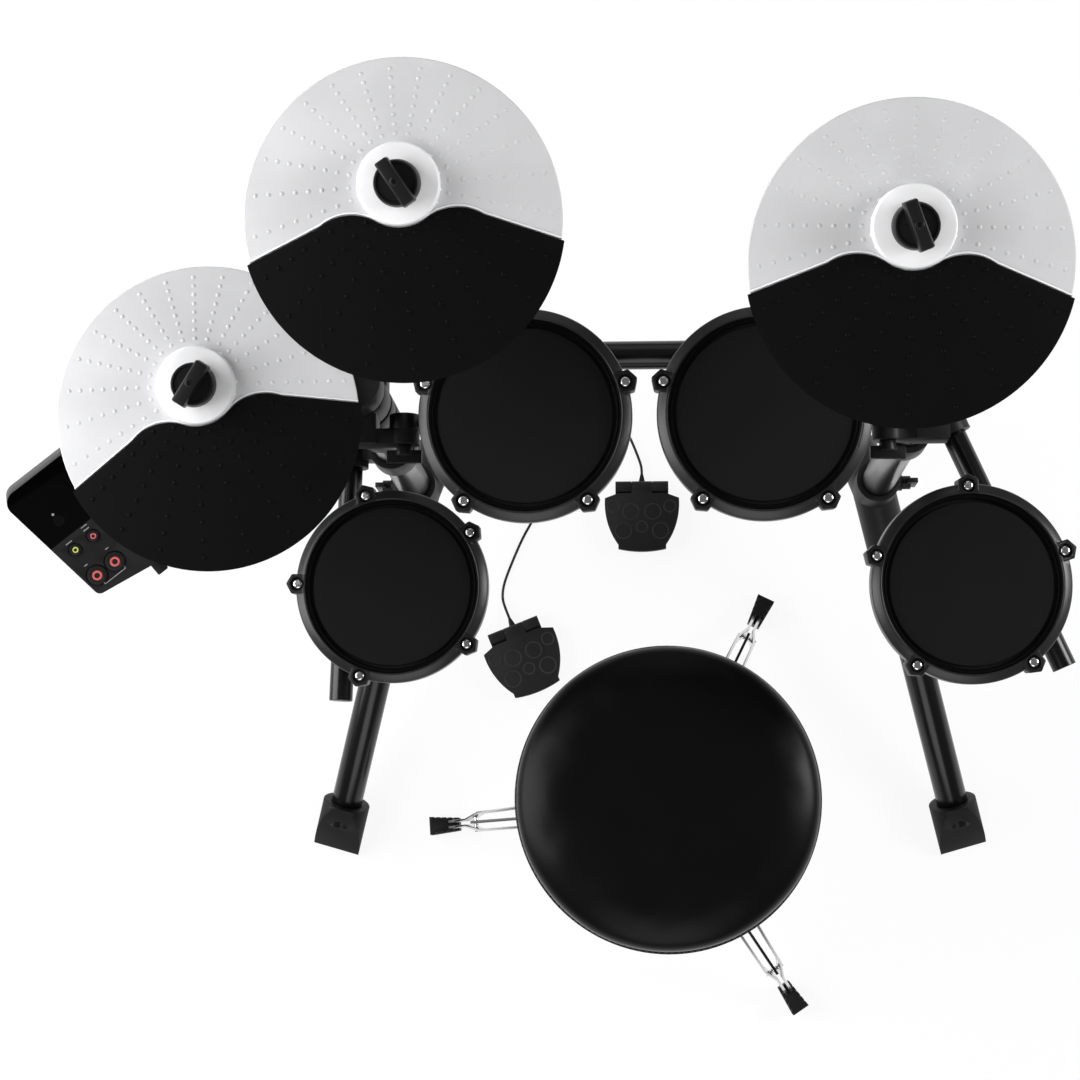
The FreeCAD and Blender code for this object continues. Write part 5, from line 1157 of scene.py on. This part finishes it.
def stuffed(piece, most):
    """Blows the cover up from inside, with its underside held, and caps how far it moves."""
    held = piece.vertex_groups.new(name="held")
    low = min(vertex.co.z for vertex in piece.data.vertices)
    held.add([v.index for v in piece.data.vertices if v.co.z < low + HELD_DEPTH * MM], 1.0, "REPLACE")
    rest = [vertex.co.copy() for vertex in piece.data.vertices]
    cloth = piece.modifiers.new("Cloth", "CLOTH")
    cloth.settings.use_pressure = True
    cloth.settings.uniform_pressure_force = PUFF_PRESSURE
    cloth.settings.effector_weights.gravity = 0.0
    cloth.settings.vertex_group_mass = "held"
    cloth.point_cache.frame_end = PUFF_FRAMES
    scene = bpy.context.scene
    for step in range(1, PUFF_FRAMES + 1):
        scene.frame_set(step)
    blown = piece.evaluated_get(bpy.context.evaluated_depsgraph_get()).data
    moved = [vertex.co.copy() for vertex in blown.vertices]
    piece.modifiers.remove(cloth)
    scene.frame_set(1)
    for vertex, start, end in zip(piece.data.vertices, rest, moved):
        step = end - start
        vertex.co = start + step.normalized() * min(step.length, most)


def filled_out(piece, radius, low, high):
    """Scales a round piece about the seat's middle to that radius and height, in mm."""
    places = [vertex.co - SEAT_MIDDLE for vertex in piece.data.vertices]
    reach = max(place.xy.length for place in places)
    bottom = min(place.z for place in places)
    tall = max(place.z for place in places) - bottom
    across, up = radius * MM / reach, (high - low) * MM / tall
    piece.data.transform(Matrix.Translation(SEAT_MIDDLE + Vector((0, 0, low * MM)))
                         @ Matrix.Diagonal((across, across, up, 1.0))
                         @ Matrix.Translation(-SEAT_MIDDLE - Vector((0, 0, bottom))))


class KIT_OT_seat(bpy.types.Operator):
    """Models the round seat: a stuffed vinyl cover with its board, seam and stitches"""

    bl_idname = "kit.seat"
    bl_label = "Seat"

    def execute(self, context):
        sizes = context.scene.kit_sizes
        high, low, radius = SEAT_HIGH - COVER_ROOM, SEAT_LOW, SEAT_RADIUS - COVER_ROOM
        crown = []
        for i in range(CROWN_STEPS + 1):
            drop = CROWN_DROP * (i / CROWN_STEPS) ** CROWN_POWER
            crown.append((radius * CROWN_SHARE * i / CROWN_STEPS, high - drop))
        side = [(radius * 0.985, high - 13), (radius * 0.997, high - 18), (radius, high - 24),
                (radius, low + 20), (radius, low + 14), (radius - 1, low + 9), (radius - 4, low + 4),
                (radius - 9, low), (0, low)]
        cover = turned("seat_cover", crown + side, 96)
        placed(cover, SEAT_PLACE)
        stuffed(cover, sizes.puff)
        modifier(cover, "SMOOTH", factor=0.5, iterations=SMOOTH_ROUNDS)
        modifier(cover, "SUBSURF", levels=1, render_levels=1)
        seam_radius = SEAT_RADIUS - PIPING
        filled_out(cover, seam_radius - 0.2, low, SEAT_HIGH)
        smooth(cover, 80)
        fitted(cover, "seat", "black_vinyl", "seat_cushion")

        cord = turned("seat_piping", [(seam_radius + PIPING * math.cos(math.tau * i / 12),
                                       low + PIPING_HEIGHT + PIPING * math.sin(math.tau * i / 12))
                                      for i in range(13)], 120)
        smooth(cord, 60)
        fitted(placed(cord, SEAT_PLACE), "seat", "black_vinyl")
        stitch = block("seat_stitches", (0.9, sizes.stitch_length / MM, 0.8),
                       (seam_radius + 0.4, 0, low + PIPING_HEIGHT + PIPING))
        soften(stitch, 0.3)
        around = [turn_z(360 * i / sizes.stitch_count) for i in range(sizes.stitch_count)]
        fitted(placed(scattered(stitch, around), SEAT_PLACE), "seat", "seam_thread", slot="black_vinyl")
        board = turned("seat_board", [(0, low - 8), (132, low - 8), (134, low - 6.5), (134, low - 0.2),
                                      (0, low - 0.2)], 96)
        smooth(board, 34)
        fitted(placed(board, SEAT_PLACE), "seat", "black_moulding", slot="black_vinyl")
        return {"FINISHED"}


def on_brace(centre):
    """True on the dark brace between the two bars of a throne leg."""
    away = centre - SEAT_MIDDLE
    for leg in THRONE_LEGS:
        local = turn_z(-leg) @ away
        if 0 < local.x < BRACE_REACH * MM and abs(local.y) < BRACE_HALF_WIDTH * MM:
            return True
    return False


class KIT_OT_throne(bpy.types.Operator):
    """Finishes the throne's bright legs, tube and post"""

    bl_idname = "kit.throne"
    bl_label = "Throne Frame"

    def execute(self, context):
        legs = dressed("throne_legs", "bright_bar", 0.5)
        two_tone(legs, "black_tube", lambda face: on_brace(face.center))
        for node in ("throne_tube", "seat_post"):
            dressed(node, "bright_bar", 0.5)
        return {"FINISHED"}


# Stage
CAMERA_PLACE = RACK + Vector((0.0, -0.410, 2.483))
SENSOR_WIDTH = 36.0
IMAGE = 1080.0
FOCAL = 2200.0
STRAIGHT_DOWN = (648.0, 880.0)
LAMPS = (
    ("left", (-1.8, 0.2, 1.5), 2.0, 70.0),
    ("right", (2.2, 0.3, 1.6), 1.0, 41.0),
    ("back", (0.2, 2.6, 2.2), 2.0, 7.0),
    ("front", (0.0, -2.6, 2.2), 2.0, 26.0),
)
LAMP_AIM = Vector((0.0, 0.0, 0.5))
AMBIENT = 0.15
FLOOR_SIZE = 30
FLOOR_DROP = 0.3
FLOOR_ROUGHNESS = 0.9
FLOOR_SHARE = 0.9
SHADED_TO = 1.2
WHITE_FROM = 4.0


def camera_turn():
    """The camera's turn, from the pixel that lies straight below it."""
    x, y = STRAIGHT_DOWN
    down = Vector(((x - IMAGE / 2) / FOCAL, (IMAGE / 2 - y) / FOCAL, -1.0)).normalized()
    up = -down
    across = Vector((1.0, 0.0, 0.0))
    across = (across - up * across.dot(up)).normalized()
    return Matrix((across, up.cross(across), up))


def floor_share(tree):
    away = tree.nodes.new("ShaderNodeVectorMath")
    away.operation = "LENGTH"
    tree.links.new(tree.nodes.new("ShaderNodeTexCoord").outputs["Object"], away.inputs[0])
    return ranged(tree, away.outputs["Value"], SHADED_TO, WHITE_FROM, FLOOR_SHARE, 1.0)


def white_share(tree, shader, white):
    """Shows plain white to the camera and to reflections, with a share of the shaded surface left."""
    path = tree.nodes.new("ShaderNodeLightPath")
    seen = blended(tree, "MAXIMUM", path.outputs["Is Camera Ray"], path.outputs["Is Glossy Ray"])
    seen = blended(tree, "MAXIMUM", seen, path.outputs["Is Transmission Ray"])
    return mixed(tree, blended(tree, "MULTIPLY", seen, floor_share(tree)), shader, white)


class KIT_OT_stage(bpy.types.Operator):
    """Sets the camera, the pale floor, the soft lamps and the white surroundings"""

    bl_idname = "kit.stage"
    bl_label = "Stage"

    def execute(self, context):
        scene = context.scene
        lens = bpy.data.cameras.new("camera")
        lens.sensor_width = SENSOR_WIDTH
        lens.lens = SENSOR_WIDTH * FOCAL / IMAGE
        eye = bpy.data.objects.new("camera", lens)
        eye.matrix_world = Matrix.Translation(CAMERA_PLACE) @ camera_turn().to_4x4()
        scene.collection.objects.link(eye)
        scene.camera = eye

        clear()
        bpy.ops.mesh.primitive_plane_add(size=FLOOR_SIZE, location=(0, 0, -FLOOR_DROP * MM))
        floor = begun("floor")
        pale = bpy.data.materials.new("pale_floor")
        pale.use_nodes = True
        tree = pale.node_tree
        shader = tree.nodes["Principled BSDF"]
        shader.inputs["Base Color"].default_value = (*scene.kit_colours.floor, 1.0)
        shader.inputs["Roughness"].default_value = FLOOR_ROUGHNESS
        white = tree.nodes.new("ShaderNodeEmission")
        shown = white_share(tree, shader.outputs["BSDF"], white.outputs["Emission"])
        tree.links.new(shown, tree.nodes["Material Output"].inputs["Surface"])
        floor.data.materials.append(pale)

        for name, place, size, power in LAMPS:
            lamp = bpy.data.lights.new(name, "AREA")
            lamp.size = size
            lamp.energy = power
            holder = bpy.data.objects.new(name, lamp)
            turn = (LAMP_AIM - Vector(place)).to_track_quat("-Z", "Y").to_matrix().to_4x4()
            holder.matrix_world = Matrix.Translation(place) @ turn
            scene.collection.objects.link(holder)

        world = bpy.data.worlds.new("surroundings")
        scene.world = world
        world.use_nodes = True
        tree = world.node_tree
        soft = tree.nodes["Background"]
        soft.inputs["Color"].default_value = (1.0, 1.0, 1.0, 1.0)
        soft.inputs["Strength"].default_value = AMBIENT
        white = tree.nodes.new("ShaderNodeBackground")
        white.inputs["Color"].default_value = (1.0, 1.0, 1.0, 1.0)
        path = tree.nodes.new("ShaderNodeLightPath")
        seen = path.outputs["Is Camera Ray"]
        shown = mixed(tree, seen, soft.outputs["Background"], white.outputs["Background"])
        tree.links.new(shown, tree.nodes["World Output"].inputs["Surface"])
        scene.view_settings.view_transform = "Standard"
        return {"FINISHED"}


class KIT_PT_sidebar(bpy.types.Panel):
    """Lists the sizes, the colours and the pieces"""

    bl_idname = "KIT_PT_sidebar"
    bl_label = "Drum Kit"
    bl_space_type = "VIEW_3D"
    bl_region_type = "UI"
    bl_category = "Drum Kit"

    def draw(self, context):
        for group in (context.scene.kit_sizes, context.scene.kit_colours):
            for key in group.__annotations__:
                self.layout.prop(group, key)
        for maker in MAKERS:
            self.layout.operator(maker.bl_idname)


MAKERS = (KIT_OT_stage, KIT_OT_leads, KIT_OT_tubes, KIT_OT_clamps, KIT_OT_feet, KIT_OT_cymbals, KIT_OT_nuts,
          KIT_OT_pads, KIT_OT_module, KIT_OT_pedals, KIT_OT_throne, KIT_OT_seat)


def register():
    for group in (KitSizes, KitColours, *MAKERS, KIT_PT_sidebar):
        bpy.utils.register_class(group)
    bpy.types.Scene.kit_sizes = PointerProperty(type=KitSizes)
    bpy.types.Scene.kit_colours = PointerProperty(type=KitColours)


def unregister():
    del bpy.types.Scene.kit_colours
    del bpy.types.Scene.kit_sizes
    for group in reversed((KitSizes, KitColours, *MAKERS, KIT_PT_sidebar)):
        bpy.utils.unregister_class(group)


def main():
    register()
    bpy.ops.kit.stage()
    bpy.ops.kit.leads()
    bpy.ops.kit.tubes()
    bpy.ops.kit.clamps()
    bpy.ops.kit.feet()
    bpy.ops.kit.cymbals()
    bpy.ops.kit.nuts()
    bpy.ops.kit.pads()
    bpy.ops.kit.module()
    bpy.ops.kit.pedals()
    bpy.ops.kit.throne()
    bpy.ops.kit.seat()


if __name__ == "__main__":
    main()
